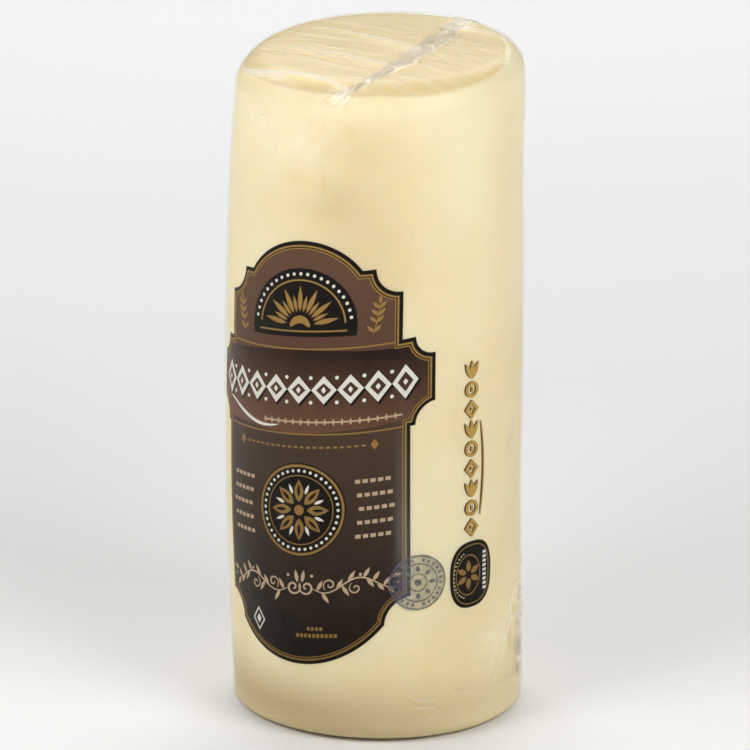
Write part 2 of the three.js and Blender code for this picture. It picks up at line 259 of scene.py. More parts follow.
def beside_seam(x, y):
    """How far along the seal and how far to its right a place on the flattened top lies."""
    dx, dy = x - SEAM_FRONT[0], y - SEAM_FRONT[1]
    along = dx * SEAM_WAY[0] + dy * SEAM_WAY[1] - SEAM_LENGTH / 2
    return along, dx * SEAM_RIGHT[0] + dy * SEAM_RIGHT[1]


def from_seam(along, across, lift):
    """Points over the top, by their place along the seal and to its right."""
    x = SEAM_FRONT[0] + SEAM_WAY[0] * (along + SEAM_LENGTH / 2) + SEAM_RIGHT[0] * across
    y = SEAM_FRONT[1] + SEAM_WAY[1] * (along + SEAM_LENGTH / 2) + SEAM_RIGHT[1] * across
    return skin(np.arctan2(y, x), np.hypot(x, y), lift)


def seam_sway(along):
    """How far the middle of the seal strays to the right."""
    bow, middle, half_span = SEAM_BOW
    turn, turn_end, turn_start = SEAM_TURN
    sway, waves = SEAM_SWAY
    bowed = bow * (1 - ((along - middle) / half_span) ** 2)
    turned_off = turn * (1 - smooth(turn_end, turn_start, along))
    return bowed - turned_off + sway * np.sin(FULL_TURN * waves * along / SEAM_LENGTH)


def beside_top(travel):
    """From 0 on the top to 1 on the side."""
    return smooth(60, 90, travel)


# ---- Meshes ----


def add_object(name, data):
    thing = bpy.data.objects.new(name, data)
    bpy.context.scene.collection.objects.link(thing)
    return thing


def make_piece(name, points, faces, material, node, slot, flat=False, **weights):
    """A mesh from points in millimetres, which stands for a CAD node. Weights are point attributes."""
    mesh = bpy.data.meshes.new(name)
    mesh.from_pydata((np.asarray(points) * MM).tolist(), [], faces)
    mesh.polygons.foreach_set("use_smooth", [not flat] * len(mesh.polygons))
    for key, values in weights.items():
        attribute = mesh.attributes.new(key, "FLOAT", "POINT")
        attribute.data.foreach_set("value", np.asarray(values, np.float32))
    mesh.materials.append(material)
    piece = add_object(name, mesh)
    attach(piece, "root")
    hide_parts(node)


def between_rings(upper, lower):
    """Faces between two rings of point numbers counted alike, the lower one as long or half as long."""
    n = len(lower)
    if len(upper) == n:
        return [(upper[i], lower[i], lower[(i + 1) % n], upper[(i + 1) % n]) for i in range(n)]
    faces = []
    for i in range(n):
        a, b, c = upper[2 * i], upper[2 * i + 1], upper[(2 * i + 2) % len(upper)]
        d, e = lower[i], lower[(i + 1) % n]
        faces += [(a, d, b), (b, d, e), (b, e, c)]
    return faces


def ring_numbers(start, count):
    return list(range(start, start + count))


def hang_rings(angle, travel, faces, upper, ring_angles, rows):
    """A skin carried on below a ring of it: a ring for each row of travels, and a point on the base."""
    faces, start = list(faces), len(travel)
    for _ in rows:
        lower = ring_numbers(start, len(ring_angles))
        faces += between_rings(upper, lower)
        upper, start = lower, start + len(lower)
    faces += [(start, upper[(i + 1) % len(upper)], upper[i]) for i in range(len(upper))]
    *_, foot_end = outline_at(0.0)
    angle = np.concatenate([angle, np.tile(ring_angles, len(rows)), [0.0]])
    travel = np.concatenate([travel, *rows, [foot_end + LOG_RADIUS - CRISP_FOOT]])
    return angle, travel, faces


def lower_rows(angles, start, steps_wall, steps_low, low, steps_foot):
    """Travels down the wall from start, closer together below the height low, then round the foot."""
    rim, foot, _, rim_end, wall_end, foot_end = outline_at(angles)
    low_travel = rim_end + LOG_HEIGHT - rim - low
    rows = []
    for first, last, steps in (
        (start, low_travel, steps_wall),
        (low_travel, wall_end, steps_low),
        (wall_end, foot_end, steps_foot),
    ):
        rows += [mix(first, last, (i + 1) / steps) for i in range(steps)]
    base = LOG_RADIUS - foot
    return rows + [foot_end + base * share for share in (0.08, 0.2, 0.4, 0.7)]


# ---- Cheese ----

# Patches of a deeper tone on the side: place round and height, half-width, half-height, strength
BLUSHES = (
    (30, 258, 27, 38, 0.66),
    (28, 302, 32, 16, 0.28),
    (17, 276, 14, 9, 0.35),
    (-8, 270, 22, 6, 0.2),
    (112, 262, 12, 70, 0.2),
    (120, 120, 26, 60, 0.3),
    (210, 120, 40, 70, 0.3),
    (300, 210, 45, 55, 0.35),
)
# Short marks of the mould: place round and height, half-length, half-height, slope, strength
MARKS = (
    (21.5, 308.5, 5.0, 1.4, 0.6, 0.6),
    (33, 300.6, 6.0, 0.8, 0.1, 0.6),
    (10.7, 285, 1.2, 3.6, 0.0, 1.0),
    (-2, 283.5, 8.0, 3.0, 0.0, 0.35),
    (16, 270.5, 8.0, 1.0, 0.1, 0.7),
    (91.6, 309.5, 6.0, 0.8, 0.05, 0.5),
    (80, 258.5, 3.0, 1.2, 0.5, 0.3),
    (105.5, 258.5, 1.4, 2.5, 0.0, 0.4),
    (121, 38, 2.4, 7.0, 0.0, 1.0),
    (176, 250, 6.0, 1.2, 0.2, 0.6),
    (236, 96, 1.4, 6.5, 0.1, 0.7),
    (262, 286, 7.5, 1.2, -0.2, 0.7),
    (330, 170, 6.0, 1.0, 0.15, 0.5),
)
# Hollows pressed into the side by the gathered film: places round and height, half-width, depth
SIDE_HOLLOWS = (
    (((78, 24.5), (83, 23.4), (92, 20.9), (99.5, 19.7), (108, 19.3), (116, 18.8), (126, 17.7),
      (140, 15.4), (156, 14)), 1.4, 1.0),
    (((156, 14), (166, 15.5), (186, 19.5), (214, 22), (246, 19.5)), 1.5, 0.7),
    (((119, 47), (115, 41), (111, 35.5), (107, 30), (102, 24)), 1.2, 0.6),
    (((114, 60), (122, 54), (132, 51)), 1.4, 0.5),
    (((262, 60), (270, 48), (274, 30)), 1.8, 0.5),
)
# Painted shade at the foot, darker towards the floor: its height, its least and most strength, and where
# round the log it is most
PAINTED_FOOT_SHADE = (44.0, 0.25, 1.15, math.radians(-108))
# The travel at which the cut top ends, how ragged that is, and where it bulges: how far, degrees, width
CUT_TRAVEL, CUT_RAGGED = 65.6, 0.35
CUT_BULGES = ((3.0, -24, 32), (3.0, -145, 22), (-5.0, 34, 27))
CUT_BAND, CUT_ROWS = 3.0, 15  # half the width of the close rows at the cut edge, and their number
# The cheese's points round the log, the least travel at which its wall begins, and the rows below that:
# steps down the wall, steps low on it and under which height, and steps round the foot
CHEESE_COLUMNS, CHEESE_WALL, CHEESE_ROWS = 360, 80.0, (50, 80, 66, 10)
LABEL_BEHIND = 60.0  # how far to the left of the label's middle the lengths round the log begin


def round_from_front(angle):
    """The length round the log from the middle of the label, to the right, from -LABEL_BEHIND on."""
    return (angle - FRONT + LABEL_BEHIND / LOG_RADIUS) % FULL_TURN * LOG_RADIUS - LABEL_BEHIND


def degrees_from(middle, angle):
    """An angle as degrees from a middle one, from -180 to 180."""
    return (np.degrees(angle) - middle + 180) % 360 - 180


def cut_edge(angle):
    """The travel at which the cut top of the cheese ends."""
    ragged = CUT_RAGGED * soft_noise(angle / FULL_TURN * 24, angle * 0, 5, 24)
    bulges = [out * bell(degrees_from(middle, angle), width) for out, middle, width in CUT_BULGES]
    return CUT_TRAVEL + sum(bulges) + ragged


def pressed_in(about, z):
    """How deep the side is pressed in by the gathered film."""
    depth = np.zeros_like(z)
    for path, width, deep in SIDE_HOLLOWS:
        distance, share = path_distance(about, z, path)
        depth += deep * bell(distance, width) * run_out(share, 0.06, 0.88)
    return depth


def cheese_rows(angles):
    """Travels from near the middle of the top to near that of the base, close together at the cut edge."""
    _, _, top_end, rim_end, _, _ = outline_at(angles)
    edge = cut_edge(angles)
    wall = np.maximum(rim_end, CHEESE_WALL)
    rows = [top_end * share for share in (0.05, 0.25, 0.5, 0.7, 0.85)]
    rows += [(edge - CUT_BAND) * share for share in (0.9, 0.95)]
    rows += [edge + off for off in np.linspace(-CUT_BAND, CUT_BAND, CUT_ROWS)]
    rows += [mix(edge + CUT_BAND, wall, share) for share in (0.33, 0.67, 1)]
    return rows + lower_rows(angles, wall, *CHEESE_ROWS)


def cheese_block(material):
    """The log of cheese, with its marks pressed in and its tones as point weights."""
    angles = turns(CHEESE_COLUMNS)
    first, *rows = cheese_rows(angles)
    ring = ring_numbers(1, CHEESE_COLUMNS)
    faces = [(0, ring[i], ring[(i + 1) % CHEESE_COLUMNS]) for i in range(CHEESE_COLUMNS)]
    top_angle, top_travel = np.concatenate([[0], angles]), np.concatenate([[0], first])
    angle, travel, faces = hang_rings(top_angle, top_travel, faces, ring, angles, rows)

    _, z, _, _ = even_spot(angle, travel)
    edge = cut_edge(angle)
    about = round_from_front(angle)
    blush = sum(strength * patch(about, z, *place) for *place, strength in BLUSHES)
    mark = sum(strength * patch(about, z, *place) for *place, strength in MARKS)
    # A darker line along the cut edge, over a shallow groove, strongest towards the front
    edge_line = bell(travel - edge - 0.5, 0.8) * (0.35 + 0.65 * smooth(0.2, 0.9, -np.sin(angle)))
    sunk = 0.25 * np.minimum(mark, 1) + 0.2 * edge_line + pressed_in(about, z) * beside_top(travel)
    # Painted shade low on the side: most round the darkest angle, fading out upward, and a little weaker at
    # the very bottom
    foot_height, least, most, darkest = PAINTED_FOOT_SHADE
    foot = mix(least, most, (0.5 + 0.5 * np.cos(angle - darkest)) ** 2)
    foot = foot * (1 - smooth(6, foot_height, z)) * mix(0.6, 1, smooth(2, 18, z))
    cut_top = 1 - smooth(edge - 0.4, edge + 0.4, travel)
    weights = {"cut_top": cut_top, "edge_line": edge_line, "blush": blush, "mark": mark, "foot": foot}
    points = skin(angle, travel, CHEESE_LIFT - sunk)
    make_piece("cheese", points, faces, material, "film_bag", "cheese", **weights)


# ---- Film ----

# Ridges pulled in the film over the top, on the flattened top: places, half-width, height, whiteness
TOP_RIDGES = (
    (((17, -62), (6.5, -59.9), (-8.5, -58.1), (-26.8, -56.1), (-35.7, -54.4), (-44.3, -50.7), (-56, -43)),
     1.3, 0.9, 0.85),
    (((-20, -59.5), (-34, -56.5), (-46, -50.5), (-58, -41)), 2.2, 0.3, 0.55),
    (((10, -32.2), (-8.4, -29.9), (-26.8, -27.8), (-44.6, -29.9), (-60, -25.3)), 1.3, 0.9, 0.45),
    (((-14, -25), (-29.9, -22.9), (-47.2, -25.5), (-60, -22.2)), 1.0, 0.6, 0.4),
    (((23, 0.5), (15.3, 4.2), (1.6, 6.3), (-14, 7.9), (-30.1, 11.8), (-46, 11)), 1.4, 1.0, 0.65),
    (((-33, -8), (-45.5, -11.1), (-56, -14.6)), 0.9, 0.4, 0.3),
    (((-18, -1.8), (-30.7, -1.9), (-45.8, -0.8), (-57, 1.4)), 0.9, 0.4, 0.3),
    (((30, 41.6), (40.9, 41.8), (49, 39)), 1.1, 0.6, 0.5),
    (((23, 46), (32.5, 46.9), (42.5, 45.1)), 1.0, 0.5, 0.35),
    (((36, -18.8), (46, -22.2), (54, -22.2), (63, -20)), 1.2, 0.7, 0.45),
    (((46, 5.3), (52.6, 3.8), (60, 0.6)), 0.9, 0.45, 0.2),
    (((55, 30), (62, 17), (66, 4)), 1.2, 0.35, 0.25),
)
# Broad folds of slack film, seen as a dull veil: the same. The first, near the front rim, is also a painted
# highlight where the lamps' reflection falls
TOP_VEILS = (
    (((-10, -65), (-32, -58), (-52, -42)), 5.0, 0.1, 0.2),
    (((24, -28), (5.4, -26.6), (-9, -25), (-22, -24.6)), 3.6, 0.2, 0.3),
    (((25, -8), (14, 0), (2, 2), (-10, 3.5)), 4.0, 0.2, 0.3),
    (((22, -50), (12, -53), (2, -55)), 3.0, 0.15, 0.25),
)
# Pleats and creases on the side: places round and height, half-width, height, whiteness
SIDE_RIDGES = (
    (((119, 58), (117.5, 53.7), (116.4, 48.9), (114.2, 44.5), (111, 39)), 2.2, 1.0, 0.6),
    (((117, 47), (112.5, 40), (107.3, 33.9), (102.6, 28.5), (97, 23)), 2.6, 0.5, 0.1),
    (((118, 52.5), (124, 50.5), (134, 47)), 1.4, 0.6, 0.3),
    (((129, 63.5), (122.6, 59.2), (117.5, 55.9)), 1.8, 0.7, 0.5),
    (((121, 68), (119, 62), (115, 57)), 1.6, 0.5, 0.4),
    (((127, 50), (125.5, 38), (123, 28), (121.5, 19.8)), 2.0, 0.7, 0.25),
    (((122, 12), (136, 10), (150, 9), (166, 9)), 3.4, 0.8, 0.04),
    (((125, 67), (129, 58), (135, 69)), 2.2, 0.6, 0.4),
    (((92, 49), (102, 47), (112, 50)), 5.5, 0.15, 0.3),
    (((100, 38), (106, 42), (111, 48)), 3.2, 0.2, 0.3),
    (((76, 25.5), (86, 24), (95, 21.6), (105, 21), (114, 20.6), (124, 19.7), (138, 17.5)), 1.5, 0.45, 0.08),
    (((166, 18), (186, 22), (214, 24.5), (246, 22)), 1.5, 0.5, 0.1),
    (((166, 52), (176, 40), (186, 26)), 2.4, 0.5, 0.2),
    (((156, 70), (161, 60), (157, 48)), 2.2, 0.6, 0.4),
    (((124, 140), (118, 143), (111, 145)), 1.6, 0.25, 0.1),
    (((127, 148), (120, 150), (113, 152)), 1.4, 0.2, 0.08),
    (((117, 184), (111, 183)), 1.4, 0.2, 0.06),
    (((50, 262.5), (60, 261.5)), 0.7, 0.12, 0.3),
    (((50, 258), (58, 257)), 0.7, 0.12, 0.25),
    (((52, 253), (62, 252)), 0.7, 0.12, 0.3),
    (((57, 245), (68, 244.5)), 0.7, 0.12, 0.25),
    (((28, 280), (44, 281)), 1.1, 0.12, 0.2),
    (((55, 24), (65, 22.3)), 0.9, 0.12, 0.4),
    (((55, 19.8), (65, 18.5)), 0.9, 0.12, 0.35),
    (((57.5, 13.8), (65, 13.3)), 0.8, 0.12, 0.4),
    (((224, 12), (240, 15), (258, 13)), 1.6, 0.3, 0.15),
    (((286, 16), (300, 13), (318, 14)), 1.5, 0.3, 0.15),
)
# Short creases scattered over the back of the side: how many, between which places round, and how high
SCATTER_COUNT, SCATTER_ROUND, SCATTER_HEIGHTS = 70, (135, 380), (20, 300)
# Milky patches on the film of the side; those on the front, high up and in an upright band at 51 round, are
# painted reflections of the lamps in the uneven film: round and height, half-sizes, whiteness
SIDE_VEILS_AND_SHEEN = (
    (-32, 314, 26, 13, 0.34),
    (-24, 300, 20, 15, 0.16),
    (2, 304, 13, 12, 0.18),
    (-5, 297, 10, 8, 0.1),
    (50, 319, 24, 5, 0.16),
    (75, 300, 22, 20, 0.06),
    (150, 305, 30, 14, 0.1),
    (245, 300, 24, 16, 0.2),
    (200, 60, 26, 18, 0.12),
    (51, 100, 3.6, 50, 0.14),
)
# How ridges run: the share of its arch a ridge starts at, how much it fades, and how much of it is white
TOP_FORM, SIDE_FORM = (0.12, 0.4, 0.75), (0.08, 0.0, 0.5735)
CAP_TRAVEL = 92.0  # the film over the top is a square grid out to this travel, and rings beyond it
CAP_ACROSS, CAP_ALONG = 116, 324
FILM_ROWS = (36, 84, 72, 8)  # as CHEESE_ROWS
WRINKLES_REACH = 74.0  # how far along the seal from its middle the fine wrinkles of the top start
# Those wrinkles: count, side, usual slope, nearest and farthest start, shortest and longest
WRINKLES = ((95, -1, 0.15, -1, 40, 12, 60), (55, 1, -0.2, 0, 20, 8, 30))
# Stars of crumpled film at the ends of the seal: place along it and beside it, reach, height, whiteness
STARS = ((-66.0, -3.5, 8.5, 0.9, 0.5), (46.0, 1.0, 11.0, 0.6, 0.55), (62.0, -1.0, 9.0, 0.6, 0.5))


def top_wrinkles(along, off):
    """Fine wrinkles that run out from the seal over the top, and how white they are."""
    rng = np.random.default_rng(17)
    lift, white = np.zeros_like(along), np.zeros_like(along)
    for count, side, usual, nearest, farthest, shortest, longest in WRINKLES:
        for _ in range(count):
            at = rng.uniform(-WRINKLES_REACH, WRINKLES_REACH)
            start = rng.uniform(nearest, farthest)
            length = rng.uniform(shortest, longest)
            slope = rng.normal(usual, 0.09)
            bend = rng.normal(0, 1.2)
            width = rng.uniform(0.6, 1.3)
            height = rng.uniform(0.04, 0.15) * rng.choice([1, 1, 1, -0.8])
            arch = np.sin(math.pi * np.clip((side * off - start) / length, 0, 1))
            middle = at + slope * side * off + bend * arch
            body = arch**0.7 * bell(along - middle, width)
            lift += height * body
            white += (0.03 + 0.28 * rng.random() ** 3) * body * (height > 0)
    return lift, white


def side_creases(about, z):
    """Short, nearly level creases over the back of the side, and how white they are."""
    rng = np.random.default_rng(29)
    lift, white = np.zeros_like(z), np.zeros_like(z)
    for _ in range(SCATTER_COUNT):
        middle, height = rng.uniform(*SCATTER_ROUND), rng.uniform(*SCATTER_HEIGHTS)
        half, width = rng.uniform(3, 14), rng.uniform(0.7, 1.4)
        body = patch(about, z, middle, height, half, width, rng.normal(0.05, 0.16))
        lift += rng.uniform(0.1, 0.3) * body
        white += 0.05 * rng.random() * body
    return lift, white


def crumple(along, across):
    """The film drawn together beside the seal, and gathered in a star at each of its ends."""
    near = bell(across - seam_sway(along), 7.5) * (np.abs(along) < SEAM_LENGTH)
    folds = soft_noise(along / 3.8, across / 6.0, 3)
    lift = 0.3 * near * folds
    white = 0.16 * near * smooth(-0.2, 0.8, folds)
    for at, beside, reach, height, whiteness in STARS:
        spread = np.hypot(along - at, across - seam_sway(along) * (at > 0) - beside)
        turn = np.arctan2(along - at, across - beside)
        twist = 0.6 * soft_noise(spread / 3, turn * 0, 4)
        star = soft_noise(turn / FULL_TURN * 17 + twist, spread / 8, 8, 17)
        star = star * smooth(0, 2, spread) * bell(spread, reach)
        lift += height * star
        white += whiteness * (0.25 + smooth(-0.3, 0.6, star)) * bell(spread, reach * 0.75)
    return lift, white


def ridges(u, v, paths, start, fading, crest):
    """Ridges of film along paths, and how white they are over a share of their width."""
    lift, white = np.zeros_like(u), np.zeros_like(u)
    for path, width, height, whiteness in paths:
        distance, share = path_distance(u, v, path)
        body = run_out(share, start) * (1 - fading * share)
        lift += height * bell(distance, width) * body
        white += whiteness * bell(distance, width * crest) * body
    return lift, white


def film_relief(angle, travel):
    """Lift of the film over the skin, and how white it is where it is folded or milky, and where
    reflections of the lamps are painted on it.
    """
    x, y = travel * np.cos(angle), travel * np.sin(angle)
    along, across = beside_seam(x, y)
    _, z, _, _ = even_spot(angle, travel)
    about = round_from_front(angle)
    on_side = beside_top(travel)

    waves = soft_noise(angle / FULL_TURN * 11, z / 46, 21, 11)
    lift = 0.3 * waves * on_side * smooth(4, 40, z)
    uneven = soft_noise(about / 9, z / 8, 23) + 0.5 * soft_noise(about / 3.5, z / 3, 24)
    # Milky patches, and on the front painted reflections of the lamps, mottled by the uneven noise
    veils_and_sheen = sum(whiteness * patch(about, z, *place) for *place, whiteness in SIDE_VEILS_AND_SHEEN)
    white = veils_and_sheen * mix(0.75, 1.0, smooth(-0.5, 0.25, uneven)) * on_side
    for (raised, whitened), where in (
        (top_wrinkles(along, across - seam_sway(along)), 1 - smooth(60, 74, travel)),
        (crumple(along, across), 1 - smooth(86, 102, travel)),
        (ridges(x, y, TOP_RIDGES + TOP_VEILS, *TOP_FORM), 1 - smooth(70, 88, travel)),
        (side_creases(about, z), on_side),
        (ridges(about, z, SIDE_RIDGES, *SIDE_FORM), on_side),
    ):
        lift += raised * where
        white += whitened * where
    lift = FILM_LIFT + np.maximum(lift, DEEPEST_DENT) - pressed_in(about, z) * on_side
    return lift, np.clip(white, 0, 1)


def cap_grid():
    """Places of a square grid drawn out to a round one, its faces, and its edge as a loop of numbers."""
    u = np.linspace(-1, 1, CAP_ACROSS + 1)[:, None]
    v = np.linspace(-1, 1, CAP_ALONG + 1)[None, :]
    right = (u * np.sqrt(1 - v**2 / 2)).ravel() * CAP_TRAVEL
    back = (v * np.sqrt(1 - u**2 / 2)).ravel() * CAP_TRAVEL
    x = right * SEAM_RIGHT[0] + back * SEAM_WAY[0]
    y = right * SEAM_RIGHT[1] + back * SEAM_WAY[1]
    wide = CAP_ALONG + 1
    faces = [
        (i * wide + j, (i + 1) * wide + j, (i + 1) * wide + j + 1, i * wide + j + 1)
        for i in range(CAP_ACROSS)
        for j in range(CAP_ALONG)
    ]
    edge = [i * wide for i in range(CAP_ACROSS)]
    edge += [CAP_ACROSS * wide + j for j in range(CAP_ALONG)]
    edge += [i * wide + CAP_ALONG for i in range(CAP_ACROSS, 0, -1)]
    edge += list(range(CAP_ALONG, 0, -1))
    return x, y, faces, edge


def film_sheet(material):
    """The clear film all over the log, with its wrinkles and ridges."""
    x, y, faces, edge = cap_grid()
    angle, travel = np.arctan2(y, x), np.hypot(x, y)
    ring_angles = angle[edge[::2]]
    rows = lower_rows(ring_angles, CAP_TRAVEL, *FILM_ROWS)
    angle, travel, faces = hang_rings(angle, travel, faces, edge, ring_angles, rows)
    lift, white = film_relief(angle, travel)
    weights = {"white": mix(0.55, 1, white), "haze": FILM_VEIL + FILM_WHITENING * white}
    make_piece("film", skin(angle, travel, lift), faces, material, "film_bag", "film", **weights)


def folded_strip(name, placed, lift, white, haze, material):
    """A closed thin sheet over a grid, which placed puts at a lift, with how white and how hazy it is."""
    over, under = placed(np.maximum(lift, FOLD_LEAST)), placed(FOLD_UNDER)
    rows, wide = white.shape
    count = rows * wide
    first = np.arange(count).reshape(rows, wide)
    quads = np.stack([first[:-1, :-1], first[1:, :-1], first[1:, 1:], first[:-1, 1:]], axis=-1)
    quads = quads.reshape(-1, 4)
    loop = np.concatenate([first[:, 0], first[-1, 1:], first[-2::-1, -1], first[0, -2:0:-1]])
    onward = np.roll(loop, -1)
    rim = np.stack([onward, loop, loop + count, onward + count], axis=-1)
    faces = np.concatenate([quads, quads[:, ::-1] + count, rim]).tolist()
    points = np.concatenate([over.reshape(-1, 3), under.reshape(-1, 3)])
    weights = {"white": np.tile(white.ravel(), 2), "haze": np.tile(haze.ravel(), 2)}
    make_piece(name, points, faces, material, "film_bag", "film", **weights)


def seal_fold(material):
    """The flattened, crumpled seal across the top, wider behind and with a fan of pleats in front."""
    rows, columns = SEAL_GRID
    reach = SEAM_LENGTH / 2
    along = np.linspace(-reach, reach + SEAM_BACK_HANG, rows)[:, None]
    share = np.linspace(-1, 1, columns)[None, :]
    from_end = np.minimum(along + reach, reach + SEAM_BACK_HANG - along)
    grown = smooth(0, 7, from_end + 2.5 * soft_noise(share * 4.5 + 9, along / 60, 15))
    fan_at, fan_reach, fan_half = SEAL_FAN
    in_fan = bell(along + reach - fan_at, fan_reach)
    half = mix(*SEAL_HALF, smooth(0.06, 0.36, along / SEAM_LENGTH + 0.5)) + fan_half * in_fan
    ragged = 1 + 0.3 * soft_noise(along / 4.5, np.sign(share) * 3, 31)
    beside = half * share * ragged

    wander = 0.9 * soft_noise(along / 7, share, 11)
    long_folds = creases(along / 13 + 0.5 * share, beside / 2.1 + wander, 12)
    cross_folds = creases(along / 2.3 + beside / 4, beside / 3.4, 13)
    pleats = soft_noise(share * 5.4 + 0.2, along / 26, 14)
    edge = (1 - np.abs(share) ** 2.5) * grown
    right_edge = bell(share - 0.62, 0.1) * (1 - 0.8 * in_fan)
    rise = 0.2 + 0.16 * long_folds * (1 - in_fan) + 0.14 * cross_folds + 0.35 * in_fan * pleats
    lift = FILM_LIFT + edge * rise + 0.22 * right_edge * grown

    crest = 0.85 * smooth(0.75, 1, long_folds) * (1 - in_fan) + 0.5 * smooth(0.7, 1, cross_folds)
    crest = crest * mix(0.6, 1, smooth(-20, 30, along))
    milky = 0.4 * bell(along - 54, 14) * smooth(-0.9, 0.3, share)
    raised = smooth(-0.4, 0.5, pleats)
    white = np.clip(crest + 0.3 * right_edge + milky + in_fan * (0.35 + 0.3 * raised), 0, 1)
    # The hollows of the long folds get more of the grey haze: painted shade in the folds
    hollow_shade = smooth(0.3, -0.5, long_folds)
    haze = (0.19 + 0.09 * hollow_shade + 0.26 * white) * edge * (1 + in_fan * mix(-0.6, 0.5, raised))

    def placed(height):
        return from_seam(along, seam_sway(along) + beside, height)

    folded_strip("seal_fold", placed, lift, white, haze, material)


def end_ear(material):
    """The ear of the lower seal, folded flat against the side in soft pleats."""
    rows, columns = EAR_GRID
    t = np.linspace(0, 1, rows)[:, None]
    share = np.linspace(-1, 1, columns)[None, :]
    half = mix(EAR_TIP, EAR_HALF, np.sin(math.pi * t**0.7)) * (1 + 0.08 * np.sin(19 * t))
    z = mix(EAR_FOOT, EAR_TOP, t) + 0 * share
    about = half * share
    pleats = creases(about / 11 + z / 26, z / 4.6 + about / 16, 41)
    fine = soft_noise(about / 5, z / 8, 42)
    edge = (1 - np.abs(share) ** 3) * smooth(0, 0.16, np.minimum(t, 1 - t)) ** 0.6
    lift = 0.6 + edge * (0.7 - 0.3 * t + 0.55 * pleats + 0.2 * fine)
    # Whiter on the pleats and greyer between them, where the grey haze is painted shade
    white = np.clip(0.3 + 0.55 * smooth(0.0, 1, pleats) + 0.2 * fine, 0, 1)
    haze = (0.2 + 0.25 * white) * edge

    def placed(height):
        return side_skin(EAR_ANGLE, np.stack([about, z], axis=-1), height)

    folded_strip("end_ear", placed, lift, white, haze, material)


# ---- Print: flat shapes ----
#
# A shape is an array of places and a list of triangles, counter-clockwise as seen from outside.

# How a region is split: the longest side of its outline, the steps between the points inside it and where
# they start, how near the outline they may come, and the kind and tolerance of the triangulation
REGION_SIDE, REGION_STEPS, REGION_START, REGION_GAP = 2.5, (2.4, 5.0), (1.3, 1.7), 0.8
INSIDE_WITH_HOLES, SAME_SPOT = 2, 1e-6


def around(centre, radius, turn, squash=1.0):
    """Places at a radius and angles round a centre, which squash draws narrower."""
    x, z = centre
    return np.stack([x + radius * squash * np.cos(turn), z + radius * np.sin(turn)], axis=-1)


def arc(centre, radius, start, end, count):
    """Places on an arc, with angles in degrees."""
    return around(centre, radius, np.radians(np.linspace(start, end, count)))


def level_line(start, end, z, count):
    return np.stack([np.linspace(start, end, count), np.full(count, z)], axis=-1)


def fan(loop):
    """A shape without dents, from its outline."""
    loop = np.asarray(loop, float)
    n = len(loop)
    return np.vstack([loop, loop.mean(axis=0)]), [(i, (i + 1) % n, n) for i in range(n)]


def disc(centre, radius, count):
    return fan(around(centre, radius, turns(count)))


def bar(x, z, half, half_height):
    left, right, low, high = x - half, x + half, z - half_height, z + half_height
    return fan([(left, low), (right, low), (right, high), (left, high)])


def diamond(x, z, half, half_height):
    return [(x - half, z), (x, z - half_height), (x + half, z), (x, z + half_height)]


def lozenge(centre, half, half_height):
    return fan(diamond(*centre, half, half_height))


def leaf(start, end, half, count=6):
    """A leaf pointed at both ends."""
    start, end = np.asarray(start, float), np.asarray(end, float)
    way = end - start
    left = np.array([-way[1], way[0]]) / np.linalg.norm(way)
    t = np.linspace(0, 1, count + 2)[1:-1]
    bulge = half * np.sin(math.pi * t**0.85)
    right_side = start + way * t[:, None] - left * bulge[:, None]
    left_side = start + way * t[::-1, None] + left * bulge[::-1, None]
    return fan(np.vstack([[start], right_side, [end], left_side]))


def stroke(path, width, ends=1.0):
    """A line along a path, tapered at both ends to a share of its width."""
    path = np.asarray(path, float)
    way = np.gradient(path, axis=0)
    left = np.stack([-way[:, 1], way[:, 0]], -1) / np.linalg.norm(way, axis=1)[:, None]
    t = np.linspace(0, 1, len(path))
    half = (width / 2 * mix(ends, 1, np.sin(math.pi * t) ** 0.6))[:, None]
    n = len(path)
    tris = [tri for i in range(n - 1) for tri in ((i, n + i, n + i + 1), (i, n + i + 1, i + 1))]
    return np.vstack([path + left * half, path - left * half]), tris


def ring(centre, radius, width, count, squash=1.0):
    edges = [around(centre, radius + off, turns(count), squash) for off in (width / 2, -width / 2)]
    tris = []
    for i in range(count):
        onward = (i + 1) % count
        tris += [(i, onward, count + onward), (i, count + onward, count + i)]
    return np.vstack(edges), tris


def resampled(loop, step):
    """The same closed outline with no side longer than step."""
    loop = np.asarray(loop, float)
    points = []
    for a, b in zip(loop, np.roll(loop, -1, axis=0)):
        count = max(1, math.ceil(np.linalg.norm(b - a) / step))
        points += [mix(a, b, i / count) for i in range(count)]
    return np.array(points)


def region(outer, *holes):
    """A shape with any outline and holes, split finely enough to bend round the log."""
    loops = [resampled(loop, REGION_SIDE) for loop in (outer, *holes)]
    bounds, start = [], 0
    for loop in loops:
        bounds.append(ring_numbers(start, len(loop)))
        start += len(loop)
    rim = np.vstack(loops)
    across, up = (
        np.arange(low + first, high, step)
        for low, high, first, step in zip(rim.min(axis=0), rim.max(axis=0), REGION_START, REGION_STEPS)
    )
    inner = np.array([(u, v) for u in across for v in up]).reshape(-1, 2)
    if len(inner):
        gap = np.array([np.min(np.hypot(*(rim - p).T)) for p in inner])
        inner = inner[gap > REGION_GAP]
    coords = [Vector(p) for p in np.vstack([rim, inner])]
    verts, _, faces, *_ = delaunay_2d_cdt(coords, [], bounds, INSIDE_WITH_HOLES, SAME_SPOT)
    points = np.array([tuple(v) for v in verts])
    tris = []
    for face in faces:
        a, b, c = (points[i] for i in face)
        turn = (b[0] - a[0]) * (c[1] - a[1]) - (b[1] - a[1]) * (c[0] - a[0])
        tris.append(tuple(face) if turn > 0 else (face[0], face[2], face[1]))
    used = sorted({i for tri in tris for i in tri})
    number = {old: new for new, old in enumerate(used)}
    return points[used], [tuple(number[i] for i in tri) for tri in tris]


